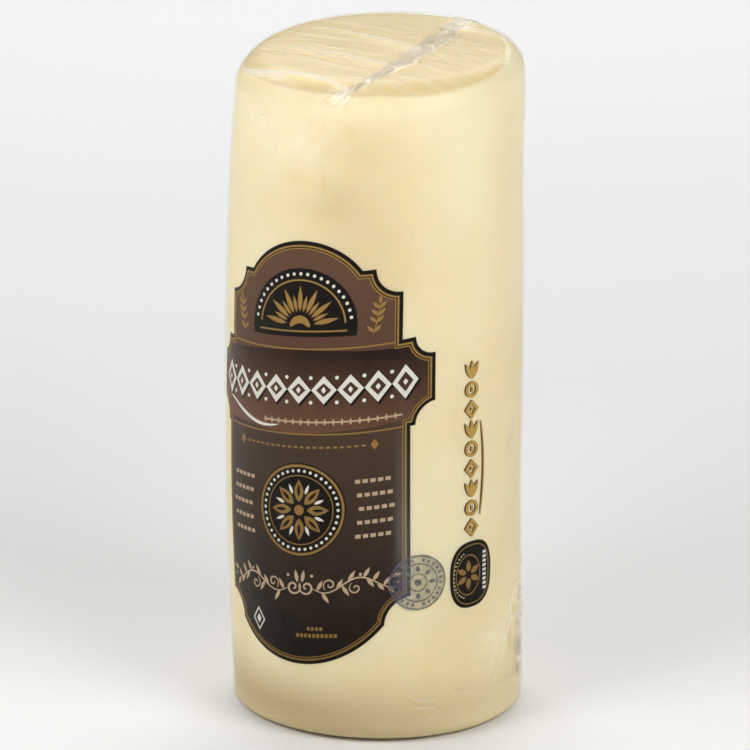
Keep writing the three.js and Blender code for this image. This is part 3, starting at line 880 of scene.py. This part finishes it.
def turned(shape, centre, degrees):
    points, tris = shape
    a = math.radians(degrees)
    spin = np.array([[math.cos(a), math.sin(a)], [-math.sin(a), math.cos(a)]])
    return (points - centre) @ spin + centre, tris


def shifted(shape, dx, dz):
    points, tris = shape
    return points + np.array([dx, dz]), tris


def both_sides(shapes):
    """Shapes and their mirror images about the middle."""
    mirrored = [(points * np.array([-1, 1]), [(a, c, b) for a, b, c in tris]) for points, tris in shapes]
    return shapes + mirrored


def plate(name, shapes, layer, material, node, slot, ground):
    """Print: shapes as closed plates bent round the log, a thin layer over what is under them."""
    about, slope = ground
    low = PRINT_BASE + layer * PRINT_LAYER
    points, faces, start = [], [], 0
    for drawn, tris in shapes:
        places = drawn + np.stack([np.zeros(len(drawn)), slope * drawn[:, 0]], axis=-1)
        n = len(places)
        points += [side_skin(about, places, low), side_skin(about, places, low + PRINT_THICKNESS)]
        sides = {(t[i], t[(i + 1) % 3]) for t in tris for i in range(3)}
        faces += [(start + c, start + b, start + a) for a, b, c in tris]
        faces += [(start + n + a, start + n + b, start + n + c) for a, b, c in tris]
        rims = [(a, b) for a, b in sides if (b, a) not in sides]
        faces += [(start + a, start + b, start + n + b, start + n + a) for a, b in sorted(rims)]
        start += 2 * n
    make_piece(name, np.vstack(points), faces, material, node, slot, flat=True)


def print_over(node, ground, inks, *plates):
    """Plates of print over one node, each with its name, shapes, layer, ink and slot."""
    for name, shapes, layer, ink, slot in plates:
        plate(name, shapes, layer, inks[ink], node, slot, ground)


# ---- Print: the label ----


def scoop_arc(corner_off, corner_z, radius, inset, below):
    """The scooped corner of a field drawn in by inset, from its level edge to its upright edge."""
    turn = math.degrees(math.asin(inset / (radius + inset)))
    start, end = (180 - turn, 90 + turn) if below else (180 + turn, 270 - turn)
    return arc((corner_off, corner_z), radius + inset, start, end, 12)


def right_side(inset):
    """The right side of the label's outline drawn in by inset, from the arch down to the lobe."""
    arch_radius = (ARCH_HALF**2 + ARCH_RISE**2) / (2 * ARCH_RISE)
    arch_middle = LABEL_TOP - arch_radius
    shoulder = LABEL_TOP - ARCH_RISE
    arch_end = math.degrees(math.asin((shoulder - inset - arch_middle) / (arch_radius - inset)))
    lobe_radius = (LOBE_HALF**2 + LOBE_RISE**2) / (2 * LOBE_RISE)
    lobe_middle = LABEL_FOOT + lobe_radius
    sill = LABEL_FOOT + LOBE_RISE
    lobe_end = -math.degrees(math.asin((lobe_middle - sill - inset) / (lobe_radius - inset)))
    return {
        "arch": arc((0, arch_middle), arch_radius - inset, 90, arch_end, 24),
        "upper_scoop": scoop_arc(UPPER_HALF, shoulder, LABEL_SCOOP, inset, False),
        "belt_upper": scoop_arc(BELT_HALF, BELT_TOP, BELT_SCOOP, inset, False),
        "belt_lower": scoop_arc(BELT_HALF, BELT_FOOT, BELT_SCOOP, inset, True)[::-1],
        "lower_scoop": scoop_arc(LOWER_HALF, sill, LABEL_SCOOP, inset, True)[::-1],
        "lobe": arc((0, lobe_middle), lobe_radius - inset, lobe_end, -90, 30),
    }


def whole(*right):
    """A closed outline from the stretches of its right half, from top to bottom, counter-clockwise."""
    right = np.vstack(right)
    left = right[::-1] * np.array([-1, 1])
    loop = np.vstack([right, left])
    keep = np.linalg.norm(loop - np.roll(loop, 1, axis=0), axis=1) > SAME_SPOT
    return loop[keep][::-1]


def label_outline(inset):
    side = right_side(inset)
    over_belt = [(UPPER_HALF - inset, BELT_TOP - inset)]
    under_belt = [(LOWER_HALF - inset, BELT_FOOT + inset)]
    upper = (side["arch"], side["upper_scoop"], over_belt, side["belt_upper"])
    return whole(*upper, side["belt_lower"], under_belt, side["lower_scoop"], side["lobe"])


def upper_field(inset, foot):
    side = right_side(inset)
    return whole(side["arch"], side["upper_scoop"], [(UPPER_HALF - inset, foot), (0, foot)])


def lower_field(inset, top):
    side = right_side(inset)
    return whole([(0, top), (LOWER_HALF - inset, top)], side["lower_scoop"], side["lobe"])


def belt_field(inset, edge):
    side = right_side(inset)
    return whole([(0, BELT_TOP - edge)], side["belt_upper"], side["belt_lower"], [(0, BELT_FOOT + edge)])


def dashes(z, start, end, pitch, length, height):
    """A row of short bars."""
    return [bar(x, z, length / 2, height / 2) for x in np.arange(start + pitch / 2, end, pitch)]


def spiral(centre, radius, start, turn_count):
    t = np.linspace(0, 1, 40)
    return around(centre, radius * (1 - 0.86 * t), math.radians(start) + FULL_TURN * turn_count * t)


# The vine of the garland: from and to how far out, its height and waves, and the phase at which it starts
VINE_START, VINE_END, VINE_HEIGHT, VINE_WAVES, VINE_PHASE = 7.0, 46.0, 3.6, 1.15, 3.6
# Its leaves: how far out, up or down, length up or down, and how far they lean outward
VINE_LEAVES = (
    (9, 1, 5.5, 3.0), (11.5, -1, 5.5, 3.5), (19, 1, 5.0, 3.0), (21.5, -1, 5.5, 3.5), (24.5, 1, 5.5, 3.5),
    (32, 1, 5.0, 3.0), (33.5, -1, 5.0, 3.5), (36.5, 1, 4.6, 3.2), (38.5, -1, 4.4, 3.2), (41.5, 1, 4.0, 3.0),
    (43.5, -1, 3.6, 3.0),
)


def garland(z):
    """A symmetric garland of scrolls and leaves on a vine."""

    def vine(x):
        passed = (x - VINE_START) / (VINE_END - VINE_START)
        return z + 0.5 + VINE_HEIGHT * np.sin(FULL_TURN * VINE_WAVES * passed + VINE_PHASE)

    x = np.linspace(VINE_START, VINE_END, 60)
    right = [
        stroke(spiral((3.6, z - 0.5), 4.2, 150, 1.35), 1.1, 0.35),
        stroke(np.stack([x, vine(x)], axis=-1), 0.8, 0.3),
        stroke(spiral((15.5, z + 1.0), 3.4, 230, -1.2), 0.8, 0.3),
        stroke(spiral((28.0, z - 1.2), 3.2, 120, 1.2), 0.75, 0.3),
        leaf((1.2, z + 2), (2.4, z + 8.5), 1.0),
    ]
    for out, side, reach, lean in VINE_LEAVES:
        right.append(leaf((out, vine(out)), (out + lean, vine(out) + side * reach), 0.95))
    right.append(leaf((45.5, z + 2.2), (50.0, z + 3.4), 1.1))
    right += [disc((6.5, z + 5.5), 0.8, 10), disc((30.5, z + 5.6), 0.8, 10), disc((48.5, z - 0.8), 0.7, 10)]
    return both_sides(right)


def laurel(x, z, length, leaves):
    """An upright sprig that leans outward, with leaves in pairs."""
    t = np.linspace(0, 1, 14)
    stem = np.stack([x + 3.0 * np.sin(math.pi * 0.45 * t), z + length * t], axis=-1)
    shapes = [stroke(stem, 0.45, 0.5)]
    for i in range(leaves):
        at = stem[int((i + 0.6) / leaves * 13)]
        shapes += [leaf(at, at + np.array([side * 3.4, 3.3]), 0.85) for side in (-1, 1)]
    return shapes + [leaf(stem[-1], stem[-1] + np.array([0.5, 4.0]), 0.85)]


def sunburst(centre):
    """Rays over a half disc, for the dark panel under the arch: gold shapes, then cream ones."""
    gold = []
    for i, way in enumerate(arc((0, 0), 1, 12, 168, 13)):
        reach, half = (16.0, 0.9) if i % 2 else (20.5, 1.25)
        gold.append(leaf(centre + way * 7.6, centre + way * reach, half))
    gold.append(fan(arc(centre, 5.6, 0, 180, 20)))
    gold.append(stroke(arc(centre, 23.2, 4, 176, 60), 0.8))
    gold.append(stroke(level_line(-24, 24, centre[1] - 2.2, 40), 0.8))
    cream = [disc(place, 0.85, 10) for place in arc(centre, 26.3, 9, 171, 21)]
    return gold, cream


def flourish(start, end, high, low):
    """A long curl that drops and ends in a hook."""
    t = np.linspace(0, 1, 50)
    drop = np.sin(math.pi * 0.62 * t) ** 1.4
    return np.stack([mix(start, end, t), high + (low - high) * drop], axis=-1)


# Rows of tan dashes beside the medallion: height, and how far out each row runs
TAN_ROWS = ((133.0, 44.0), (126.0, 47.5), (119.0, 47.5), (112.0, 47.5), (105.0, 44.0))
BELT_EDGE = 0.6  # from the belt's edge to the fields beside it


def label_gold(sun):
    """The border's lines, the sun, a pair of sprigs, the belt's edges and short rows of dashes."""
    gold = [
        *sun,
        region(label_outline(1.9), label_outline(2.8)),
        region(label_outline(3.4), label_outline(3.9)),
        *both_sides(laurel(SPRIG_OUT, SPRIG_FOOT, SPRIG_HEIGHT, 4)),
    ]
    for z, half in ((BELT_TOP - BELT_EDGE, UPPER_HALF), (BELT_FOOT + BELT_EDGE, LOWER_HALF)):
        gold.append(stroke(level_line(3.6 - half, half - 3.6, z, 60), 0.7))
    gold += dashes(UNDER_ROW, -34, 34, 3.4, 2.0, 1.0)
    gold += [lozenge((x, UNDER_ROW), 2.0, 2.6) for x in (-37.5, 37.5)]
    return gold + dashes(58.2, 3.0, 12.0, 2.2, 1.5, 1.7) + dashes(54.6, -3.0, 18.0, 2.2, 1.6, 1.9)


def label_tan():
    """A garland, and rows of dashes and small lozenges."""
    tan = garland(GARLAND_MIDDLE)
    for z, reach in TAN_ROWS:
        start = 29.5 - 0.9 * abs(z - MEDALLION[1]) / 7
        tan += both_sides(dashes(z, start, reach, 3.6, 2.5, 1.9))
    tan += dashes(BELT_ROW, -20, 50, 4.2, 2.5, 0.9)
    return tan + [lozenge((x, BELT_ROW), 0.9, 1.8) for x in np.arange(-20, 51, 4.2)]


def make_label(inks):
    """The label's fields, one over another, and the print on them."""
    dark = [region(arc(CROWN, CROWN_RADIUS, -10, 190, 60))]
    sun, dots = sunburst(CROWN)
    cream = [
        *dots,
        region(diamond(*SMALL_DIAMOND, 4.6, 6.2), diamond(*SMALL_DIAMOND, 3.7, 5.0)),
        lozenge(SMALL_DIAMOND, 1.7, 2.5),
        stroke(flourish(-52, -12, 170.5, 160.8), 1.7, 0.15),
    ]
    print_over(
        "label_panel", LABEL_GROUND, inks,
        ("label_border", [region(label_outline(0))], 0, "black", "label_brown"),
        ("label_upper_field", [region(upper_field(BORDER, BELT_TOP - BORDER))], 1, "upper", "label_brown"),
        ("label_lower_field", [region(lower_field(BORDER, BELT_FOOT + BORDER))], 1, "lower", "label_brown"),
        ("label_belt", [region(belt_field(BORDER, BELT_EDGE))], 2, "belt", "label_brown"),
        ("label_crown_panel", dark, 2, "black", "label_black"),
        ("label_gold", label_gold(sun), 3, "gold", "label_gold"),
        ("label_tan", label_tan(), 3, "tan", "label_cream"),
        ("label_cream", cream, 3, "cream", "label_cream"),
    )


def make_chain(inks):
    """Lozenges side by side on the belt, each with a shadow, a heart and a dot, and dots between them."""
    shadow, links, hearts, dots = [], [], [], []
    pitch = LOZENGE_SPAN / LOZENGE_COUNT
    for i in range(LOZENGE_COUNT):
        x = (i - (LOZENGE_COUNT - 1) / 2) * pitch
        centre = np.array([x, LOZENGE_MIDDLE])
        half, share = pitch / 2, (abs(x) / LOZENGE_SPAN * 2) ** 2
        half_height = mix(LOZENGE_LEAST, LOZENGE_TALLEST, share) / 2
        shadow.append(lozenge(centre + np.array([0.7, -0.8]), half + 0.35, half_height + 0.5))
        links.append(lozenge(centre, half - 0.15, half_height))
        hearts.append(lozenge(centre, half - 2.7, half_height - 3.6))
        dots.append(lozenge(centre, 1.2, 1.7))
    for i in range(1, LOZENGE_COUNT):
        x = (i - LOZENGE_COUNT / 2) * pitch
        dots += [disc((x, LOZENGE_MIDDLE + up), 0.95, 12) for up in (-6.2, 6.2)]
    print_over(
        "label_lozenges", LABEL_GROUND, inks,
        ("chain_shadow", shadow, 3, "black", "label_black"),
        ("chain_links", links, 4, "cream", "label_cream"),
        ("chain_hearts", hearts, 5, "belt", "label_brown"),
        ("chain_dots", dots, 6, "cream", "label_cream"),
    )


def ways_round(count):
    """Directions evenly round, clockwise from upright."""
    return [np.array([math.sin(turn), math.cos(turn)]) for turn in turns(count)]


def rosette(centre, petals, inner, outer, half):
    return [leaf(centre + way * inner, centre + way * outer, half, 8) for way in ways_round(petals)]


def make_medallion(inks):
    """A dark disc with gold rings and a flower, and beads between the rings."""
    rim = arc(MEDALLION, MEDALLION_RADIUS - 0.1, 0, 354, 60)
    gold = [ring(MEDALLION, 22.6, 1.3, 72), ring(MEDALLION, 17.6, 0.5, 64), disc(MEDALLION, 2.6, 20)]
    gold += rosette(MEDALLION, 8, 4.2, 15.6, 2.5)
    cream = [disc(place, 0.8, 10) for place in around(MEDALLION, 20.1, turns(40))]
    cream += [turned(shape, MEDALLION, 22.5) for shape in rosette(MEDALLION, 8, 8.8, 14.2, 0.8)]
    hearts = rosette(MEDALLION, 8, 7.0, 13.6, 0.8)
    print_over(
        "label_medallion", LABEL_GROUND, inks,
        ("medallion_disc", [region(rim)], 2, "black", "label_black"),
        ("medallion_gold", gold, 3, "gold", "label_gold"),
        ("medallion_cream", cream, 3, "cream", "label_cream"),
        ("medallion_hearts", hearts, 4, "black", "label_black"),
    )


# ---- Print: beside the label ----


def strip_shapes():
    """A chain of diamonds, rings and tulips, one over another."""
    shapes = []
    pitch = STRIP_HEIGHT / STRIP_COUNT
    foot = STRIP_MIDDLE - STRIP_HEIGHT / 2
    for i in range(STRIP_COUNT):
        z = foot + pitch * (i + 0.5)
        if i % 3 == 0:
            shapes.append(region(diamond(0, z, 4.4, 4.9), diamond(0, z, 2.2, 2.6)))
            shapes.append(disc((0, z), 0.9, 12))
        elif i % 3 == 1:
            shapes.append(ring((0, z), 3.2, 1.6, 32))
            shapes.append(leaf((0, z - 1.6), (0, z + 1.6), 0.7))
        else:
            shapes += [leaf((0, z - 4.6), (x, z + 3.6), 1.35) for x in (-4.2, 4.2)]
            shapes.append(leaf((0, z - 3.4), (0, z + 4.8), 1.2))
    return shapes


def squarish(half, half_height):
    """The badge's outline: between an ellipse and a rectangle."""
    cos, sin = np.cos(turns(72)), np.sin(turns(72))
    power = 2 / 2.6  # an ellipse has 1, and less is squarer
    x, z = np.sign(cos) * np.abs(cos) ** power, np.sign(sin) * np.abs(sin) ** power
    return BADGE + np.stack([half * x, half_height * z], axis=-1)


def make_side_print(inks):
    """The line of print up the side with a curl beside its foot, its shadow, and the badge below it."""
    along = np.linspace(0, 1, 40)
    curl = np.stack([5.4 + 2.4 * np.sin(along * math.pi * 0.9), mix(112, 160, along)], axis=-1)
    strip = strip_shapes() + [stroke(curl, 1.0, 0.2)]
    print_over(
        "side_strip", SIDE_GROUND, inks,
        ("strip_shadow", [shifted(shape, -0.75, 0.25) for shape in strip], 0, "umber", "label_brown"),
        ("strip_gold", strip, 1, "gold_bright", "label_gold"),
    )
    gold = [
        region(squarish(11.3, 15.3), squarish(10.8, 14.8)),
        ring(BADGE_EYE, 10.2, 0.6, 48, BADGE_SQUASH),
        *rosette(BADGE_EYE, 6, 1.6, 7.6, 1.5),
    ]
    cream = [bar(8.2, z, 1.1, 0.7) for z in np.arange(BADGE[1] - 9.0, BADGE[1] + 9.5, 2.3)]
    beads = around(BADGE_EYE, 12.0, np.radians(np.linspace(110, 250, 15)), BADGE_SQUASH)
    cream += [disc(place, 0.4, 8) for place in beads]
    print_over(
        "side_badge", SIDE_GROUND, inks,
        ("badge_plate", [region(squarish(BADGE_HALF, BADGE_HALF_HEIGHT))], 0, "black", "label_black"),
        ("badge_gold", gold, 1, "gold", "label_gold"),
        ("badge_cream", cream, 1, "cream", "label_cream"),
    )


def make_stamp(inks):
    """A faint round mark inked over the edge of the label."""
    lines = [
        ring(STAMP, STAMP_RADIUS - 0.5, 1.0, 56),
        ring(STAMP, STAMP_RADIUS - 4.6, 0.7, 48),
        ring(STAMP, 4.4, 0.7, 32),
        disc(STAMP, 1.8, 14),
    ]
    for i, way in enumerate(ways_round(STAMP_TICKS)):
        if i % (STAMP_TICKS // 2):
            lines.append(stroke([STAMP + way * reach for reach in (10.7, 11.6, 12.5)], 1.3))
    lines += rosette(STAMP, 8, 5.2, 8.9, 1.1)
    print_over(
        "label_panel", STAMP_GROUND, inks,
        ("stamp_ground", [disc(STAMP, STAMP_RADIUS, 48)], 7, "stamp_ground", "label_brown"),
        ("round_stamp", lines, 8, "stamp_lines", "label_brown"),
    )


# ---- Materials ----

# Inks: colour on screen at the lowest and the highest of their height, and those two if not the label's
INKS = {
    "black": ((16, 10, 6), (20, 15, 12)),
    "upper": ((92, 66, 52), (102, 74, 58), BELT_TOP, LABEL_TOP),
    "belt": ((112, 78, 60), (38, 24, 18), BELT_FOOT, BELT_TOP),
    "lower": ((18, 9, 4), (75, 58, 47), 50, BELT_FOOT),
    "gold": ((134, 104, 54), (164, 130, 70)),
    "gold_bright": ((186, 148, 72), (196, 158, 84)),
    "tan": ((196, 172, 142), (190, 164, 136)),
    "cream": ((222, 222, 212), (230, 230, 220)),
    "umber": ((78, 58, 40), (78, 58, 40)),
}
# Inks of the stamp: least and most of what lies under them that they hide
STAMP_INKS = {"stamp_lines": (0.25, 0.5), "stamp_ground": (0.05, 0.18)}


def srgb(red, green, blue):
    """A colour from its values on screen, 0 to 255, for a shader."""
    values = [v / 255 for v in (red, green, blue)]
    return tuple(v / 12.92 if v <= 0.04045 else ((v + 0.055) / 1.055) ** 2.4 for v in values) + (1.0,)


class Nodes:
    """The node tree of a new material or world, with short calls to add to it."""

    def __init__(self, name, kind="materials"):
        self.owner = getattr(bpy.data, kind).new(name)
        self.owner.use_nodes = True
        self.tree = self.owner.node_tree
        self.tree.nodes.clear()

    def add(self, kind, values=(), **settings):
        node = self.tree.nodes.new("ShaderNode" + kind)
        for key, value in settings.items():
            setattr(node, key, value)
        for socket, value in dict(values).items():
            if isinstance(value, bpy.types.NodeSocket):
                self.tree.links.new(value, node.inputs[socket])
            else:
                node.inputs[socket].default_value = value
        return node.outputs

    def clamped(self, operation, a, b):
        """A sum or product kept from 0 to 1."""
        return self.add("Math", {0: a, 1: b}, operation=operation, use_clamp=True)[0]

    def blend(self, factor, a, b):
        return self.add("Mix", {0: factor, 6: a, 7: b}, data_type="RGBA")[2]

    def spread(self, value, low, high, to_low=0.0, to_high=1.0):
        sockets = {"Value": value, "From Min": low, "From Max": high, "To Min": to_low, "To Max": to_high}
        return self.add("MapRange", sockets)["Result"]

    def place(self, scale=(1, 1, 1)):
        where = self.add("TexCoord")["Object"]
        return self.add("Mapping", {"Vector": where, "Scale": scale})["Vector"]

    def noise(self, place, scale, detail, roughness):
        sockets = {"Vector": place, "Scale": scale, "Detail": detail, "Roughness": roughness}
        return self.add("TexNoise", sockets)["Fac"]

    def weight(self, name):
        return self.add("Attribute", attribute_name=name)["Fac"]

    def bump(self, height, strength, distance):
        return self.add("Bump", {"Height": height, "Strength": strength, "Distance": distance})["Normal"]

    def shader(self, kind, values=()):
        return self.add("Bsdf" + kind, values)[0]

    def between(self, share, first, second):
        """Two shaders mixed."""
        return self.add("MixShader", {0: share, 1: first, 2: second})[0]

    def finish(self, shader, output="OutputMaterial"):
        self.add(output, {"Surface": shader})
        return self.owner


def cheese_material():
    n = Nodes("provolone")
    place = n.place()
    broad = n.spread(n.noise(place, 14, 3, 0.55), 0.35, 0.7)
    side = n.blend(broad, srgb(250, 239, 201), srgb(243, 226, 180))
    side = n.blend(n.weight("blush"), side, srgb(223, 202, 158))
    streaks = n.spread(n.noise(n.place((9, 150, 6)), 1.0, 3, 0.6), 0.3, 0.78)
    # The cut top's own tan, made darker still to stand for less light on the top: partly painted shade
    top = n.blend(streaks, srgb(236, 219, 173), srgb(225, 203, 150))
    colour = n.blend(n.weight("cut_top"), side, top)
    # Darker along the cut edge
    colour = n.blend(n.clamped("MULTIPLY", n.weight("edge_line"), 0.4), colour, srgb(192, 168, 122))
    colour = n.blend(n.clamped("MULTIPLY", n.weight("mark"), 0.5), colour, srgb(218, 186, 104))
    # Painted shade at the foot
    colour = n.blend(n.weight("foot"), colour, srgb(198, 178, 134))
    grain = n.bump(n.noise(place, 350, 3, 0.6), 0.08, 0.0004)
    return n.finish(n.shader("Principled", {
        "Base Color": colour,
        "Roughness": 0.5,
        "Normal": grain,
        "Specular IOR Level": 0.25,
        "Subsurface Weight": 0.35,
        "Subsurface Radius": (1.0, 0.6, 0.25),
        "Subsurface Scale": 0.008,
    }))


def film_material(name, most_shine):
    """Clear film: gloss over what lies under it, with a haze that grows and whitens where it is folded, and
    stays grey where it is not whitened, as painted shade and reflection.

    It casts no shadow, as haze in a film scatters light onward.
    """
    n = Nodes(name)
    ripples = n.noise(n.place((30, 30, 130)), 1.0, 1, 0.5)
    normal = n.bump(ripples, 0.4, 0.0008)
    # Where the haze is least white its tone is grey: a painted reflection of the surroundings over the
    # folded film of the seal and the ear, and painted shade in its hollows
    tone = n.blend(n.spread(n.weight("white"), 0.05, 0.6), srgb(122, 122, 132), srgb(246, 244, 238))
    haze = n.shader("Diffuse", {"Color": tone, "Normal": normal})
    clear = n.shader("Transparent", {"Color": srgb(252, 251, 248)})
    body = n.between(n.weight("haze"), clear, haze)
    roughness = n.spread(n.weight("haze"), 0, 0.5, 0.24, 0.5)
    gloss = n.shader("Glossy", {"Color": (1, 1, 1, 1), "Roughness": roughness, "Normal": normal})
    fresnel = n.add("Fresnel", {"IOR": 1.33, "Normal": normal})[0]
    film = n.between(n.spread(fresnel, 0.022, 0.4, 0.0, most_shine), body, gloss)
    return n.finish(n.between(n.add("LightPath")["Is Shadow Ray"], film, n.shader("Transparent")))


def ink_material(name, low_tone, high_tone, low=LABEL_FOOT, high=LABEL_TOP):
    """Ink that changes from one colour to another with height, a little uneven as printed film is."""
    n = Nodes(name)
    height = n.add("SeparateXYZ", {0: n.add("TexCoord")["Object"]})[2]
    uneven = n.spread(n.noise(n.place(), 70, 3, 0.6), 0.3, 0.7, -0.06, 0.06)
    share = n.clamped("ADD", n.spread(height, low * MM, high * MM), uneven)
    speckle = n.spread(n.noise(n.place(), 420, 2, 0.6), 0.35, 0.75, 0.0, 0.1)
    darker = tuple(0.75 * v for v in srgb(*high_tone)[:3]) + (1.0,)
    colour = n.blend(speckle, n.blend(share, srgb(*low_tone), srgb(*high_tone)), darker)
    sockets = {"Base Color": colour, "Roughness": 0.42, "Specular IOR Level": 0.1}
    return n.finish(n.shader("Principled", sockets))


def stamp_material(name, thin, thick):
    """Ink that lets what lies under it show through, more in some spots than in others."""
    n = Nodes(name)
    patchy = n.spread(n.noise(n.place(), 300, 3, 0.65), 0.3, 0.7, thin, thick)
    ink = n.shader("Diffuse", {"Color": srgb(108, 106, 122)})
    return n.finish(n.between(patchy, n.shader("Transparent"), ink))


def ink_set():
    """Every ink by its name."""
    inks = {key: ink_material("ink_" + key, *row) for key, row in INKS.items()}
    return inks | {key: stamp_material(key, *row) for key, row in STAMP_INKS.items()}


# ---- Stage ----


def camera_axes():
    """Level directions to the right of the picture and away from the camera."""
    right = Vector((math.cos(CAMERA_AZIMUTH), math.sin(CAMERA_AZIMUTH), 0))
    away = Vector((-math.sin(CAMERA_AZIMUTH), math.cos(CAMERA_AZIMUTH), 0))
    return right, away


def make_camera():
    """A camera far off, at the photograph's angle, with the log where the photograph has it."""
    right, away = camera_axes()
    middle = Vector((0, 0, LOG_HEIGHT / 2)) * MM
    back = -away * math.cos(CAMERA_ELEVATION) + Vector((0, 0, math.sin(CAMERA_ELEVATION)))
    data = bpy.data.cameras.new("camera")
    data.sensor_width = SENSOR
    data.lens = PIXELS_PER_MM * CAMERA_DISTANCE * SENSOR / IMAGE_SIZE
    data.clip_end = 100
    camera = add_object("camera", data)
    up = back.cross(right)
    off_right = (IMAGE_SIZE / 2 - LOG_MIDDLE_SHOWN[0]) / PIXELS_PER_MM * MM
    off_up = (LOG_MIDDLE_SHOWN[1] - IMAGE_SIZE / 2) / PIXELS_PER_MM * MM
    aim = middle + right * off_right + up * off_up
    camera.location = aim + back * CAMERA_DISTANCE * MM
    camera.rotation_euler = back.to_track_quat("Z", "Y").to_euler()
    bpy.context.scene.camera = camera


def make_floor():
    n = Nodes("floor_paper")
    grain = n.bump(n.noise(n.place(), 40, 3, 0.6), 0.05, 0.0005)
    shade = n.blend(n.noise(n.place(), 3, 2, 0.5), srgb(240, 240, 240), srgb(236, 236, 236))
    paper = n.shader("Principled", {"Base Color": shade, "Roughness": 0.8, "Normal": grain})
    edge = [(x, y, 0) for x, y in around((0, 0), FLOOR_RADIUS, turns(FLOOR_SIDES)).tolist()]
    mesh = bpy.data.meshes.new("floor")
    mesh.from_pydata(edge, [], [tuple(range(FLOOR_SIDES))])
    mesh.materials.append(n.finish(paper))
    floor = add_object("floor", mesh)
    floor.location.z = -FLOOR_DROP


def softbox(name, place, target, size, power, spread=180):
    """A rectangle of light, in metres and watts, which shines from place to target."""
    data = bpy.data.lights.new(name, "AREA")
    data.shape = "RECTANGLE"
    data.size, data.size_y = size
    data.energy = power
    data.spread = math.radians(spread)
    lamp = add_object(name, data)
    lamp.location = place
    lamp.rotation_euler = (place - target).to_track_quat("Z", "Y").to_euler()


def make_light():
    """Softboxes round the object, and four aimed at the floor beyond it."""
    right, away = camera_axes()
    up = Vector((0, 0, 1))
    for name, place, size, power in (
        ("left_front", -right * 0.5 - away * 0.42 + up * 0.66, (0.35, 0.35), 2.95),
        ("right_front", right * 0.6 - away * 0.6 + up * 0.75, (0.5, 0.5), 5.7),
        ("left", -right * 1.3 - away * 0.2 + up * 0.6, (0.8, 1.4), 3.4),
        ("right", right * 1.3 - away * 0.9 + up * 0.9, (0.9, 1.2), 1.2),
        ("top_back", away * 0.9 + up * 1.4, (1.4, 0.9), 3.1),
    ):
        softbox(name, place, up * 0.18, size, power)
    softbox("floor_back", away * 1.5 + up * 1.3, away * 1.1, (2.0, 0.6), 21.0)
    for name, way in (("floor_front", -away), ("floor_left", -right), ("floor_right", right)):
        softbox(name, way * 2.1 + up * 1.5, way * 2.4, (2.4, 0.8), 31.0, 130)


def make_world():
    """A white world, bright where the camera sees it past the floor, and faint as light."""
    n = Nodes("studio", "worlds")
    strength = n.spread(n.add("LightPath")["Is Camera Ray"], 0, 1, WORLD_LIGHT, WORLD_SEEN)
    white = n.add("Background", {"Color": (1, 1, 1, 1), "Strength": strength})[0]
    bpy.context.scene.world = n.finish(white, "OutputWorld")
    bpy.context.scene.view_settings.view_transform = "Standard"


make_camera()
make_floor()
make_light()
make_world()
cheese_block(cheese_material())
film_sheet(film_material("shrink_film", 0.1))
folded_film = film_material("folded_film", 0.05)
seal_fold(folded_film)
end_ear(folded_film)
inks = ink_set()
make_label(inks)
make_chain(inks)
make_medallion(inks)
make_side_print(inks)
make_stamp(inks)
